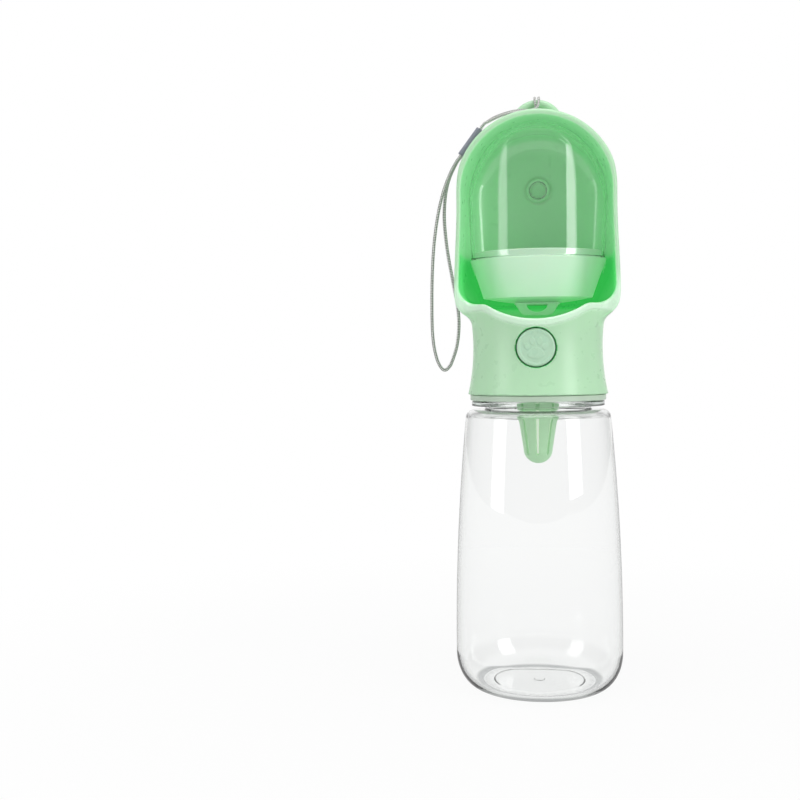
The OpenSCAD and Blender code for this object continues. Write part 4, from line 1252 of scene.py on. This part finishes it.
def make_filter():
    low = BASKET_Z + BASKET_END_R
    outline = [(BASKET_END_R * math.sin(a), low - BASKET_END_R * math.cos(a))
               for a in np.linspace(0, math.pi / 2, 14)]
    outline += [(basket_r(z), z) for z in np.linspace(low + 0.8, BASKET_TOP - 0.3, 26)]
    outline += [(basket_r(BASKET_TOP) - 0.3, BASKET_TOP), (BASKET_NECK[0] + 0.2, BASKET_TOP)]
    outline += [(BASKET_NECK[0], BASKET_TOP + 0.3), (BASKET_NECK[0], BASKET_TOP + BASKET_NECK[1])]
    slotted_wall("filter_basket_slotted", "filter_basket", outline, BASKET_WALL,
                 BASKET_Z + BASKET_FOOT_H, BASKET_TOP - BASKET_BAND_H)
    collar = [(FILTER_R - 0.2, FILTER_FOOT)]
    collar += [(FILTER_R, z) for z in np.linspace(FILTER_FOOT + 0.2, FILTER_TOP - 0.3, 12)]
    collar += [(FILTER_R - 0.3, FILTER_TOP)]
    slotted_wall("filter_collar_ring", "filter_collar", collar, FILTER_R - SPIGOT_R - 0.12,
                 FILTER_FOOT - 1, FILTER_FOOT + COLLAR_SLOT_H)


make_filter()


# ---------------------------------------------------------------- carried-over nodes
KEPT = {
    "neck_gasket": SILICONE, "inlet_seal": SILICONE, "valve_seat": SILICONE,
    "outlet_grommet": SILICONE, "lid_seal": SEAL_CLEAR, "rod_seal": DARK_RUBBER,
    "end_plug_seal": DARK_RUBBER, "valve_plug": DARK_RUBBER, "valve_housing": NATURAL,
    "chamber_end_plug": NATURAL, "valve_rod": STEEL, "plug_retainer": STEEL, "filter_core": FELT,
}
for node, material in KEPT.items():
    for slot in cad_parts[node].material_slots:
        slot.material = material


# ---------------------------------------------------------------- stage and light
FLOOR_HALF = 3.0
FLOOR_FADE = (0.05, 0.4)
FLOOR_NEAR = 0.9
FLOOR_MIRRORED = 0.5
AMBIENT = 0.42
SOFT_BOXES = {
    "left": ((-0.85, -0.5, 0.42), (0, 0, 0.17), 0.4, 0.75, 2.4),
    "right": ((0.85, -0.55, 0.45), (0, 0, 0.17), 0.4, 0.75, 4.2),
    "top": ((0.0, -0.2, 1.1), (0, 0, 0.2), 0.6, 0.5, 4.0),
}


def backdrop_factor(m):
    """1 for camera, mirror and refracted rays, 0 for the light that falls on the object."""
    direct = m.maths("ADD", m.ray("Camera"), m.ray("Glossy"), clamp=True)
    return m.maths("ADD", direct, m.ray("Transmission"), clamp=True)


def make_floor():
    """White where it is seen, a little darker close to the object and in mirrors, with its shadow."""
    mesh = bpy.data.meshes.new("floor")
    corners = [(FLOOR_HALF * x, FLOOR_HALF * y, 0) for x, y in ((-1, -1), (1, -1), (1, 1), (-1, 1))]
    mesh.from_pydata(corners, [], [(0, 1, 2, 3)])
    floor = bpy.data.objects.new("floor", mesh)
    bpy.context.scene.collection.objects.link(floor)
    material = bpy.data.materials.new("pale_floor")
    material.use_nodes = True
    m = Nodes(material.node_tree)
    m.nodes.clear()
    away = m.add("VectorMath")
    away.operation = "LENGTH"
    m.feed(away.inputs[0], m.add("NewGeometry").outputs["Position"])
    fade = m.spread(away.outputs["Value"], *FLOOR_FADE, FLOOR_NEAR, 1.0, smooth=True)
    mirrored = m.maths("SUBTRACT", m.ray("Glossy"), m.ray("Transmission"), clamp=True)
    glow = m.add("Emission", Strength=m.spread(mirrored, to_low=1.0, to_high=FLOOR_MIRRORED))
    diffuse = m.add("BsdfDiffuse", Color=(0.9, 0.9, 0.9, 1))
    seen = m.maths("MULTIPLY", backdrop_factor(m), fade)
    surface = m.mix_shaders(seen, diffuse.outputs[0], glow.outputs[0])
    m.add("OutputMaterial", Surface=surface)
    mesh.materials.append(material)


def make_world():
    """White behind the object for every ray that sees it, dark flags at the sides and in front."""
    world = bpy.data.worlds.new("studio")
    bpy.context.scene.world = world
    world.use_nodes = True
    m = Nodes(world.node_tree)
    way = m.add("SeparateXYZ", Vector=m.coords("Generated"))
    behind = m.spread(way.outputs["Y"], 0.7, 0.96, 0.36, 1.0, smooth=True)
    above = m.spread(way.outputs["Z"], 0.3, 0.7, smooth=True)
    seen = m.maths("MAXIMUM", m.maths("MAXIMUM", behind, above), m.ray("Camera"))
    background = m.nodes["Background"]
    m.feed(background.inputs["Color"], WHITE)
    strength = m.spread(backdrop_factor(m), to_low=AMBIENT, to_high=seen)
    m.feed(background.inputs["Strength"], strength)


def soft_box(name, place, aim, width, height, power):
    data = bpy.data.lights.new(name, "AREA")
    data.shape = "RECTANGLE"
    data.size, data.size_y = width, height
    data.energy = power
    light = bpy.data.objects.new(name, data)
    bpy.context.scene.collection.objects.link(light)
    light.location = place
    light.rotation_euler = (Vector(aim) - Vector(place)).to_track_quat("-Z", "Y").to_euler()


make_floor()
make_world()
for name, box in SOFT_BOXES.items():
    soft_box(name, *box)

bpy.context.scene.view_settings.view_transform = "Standard"
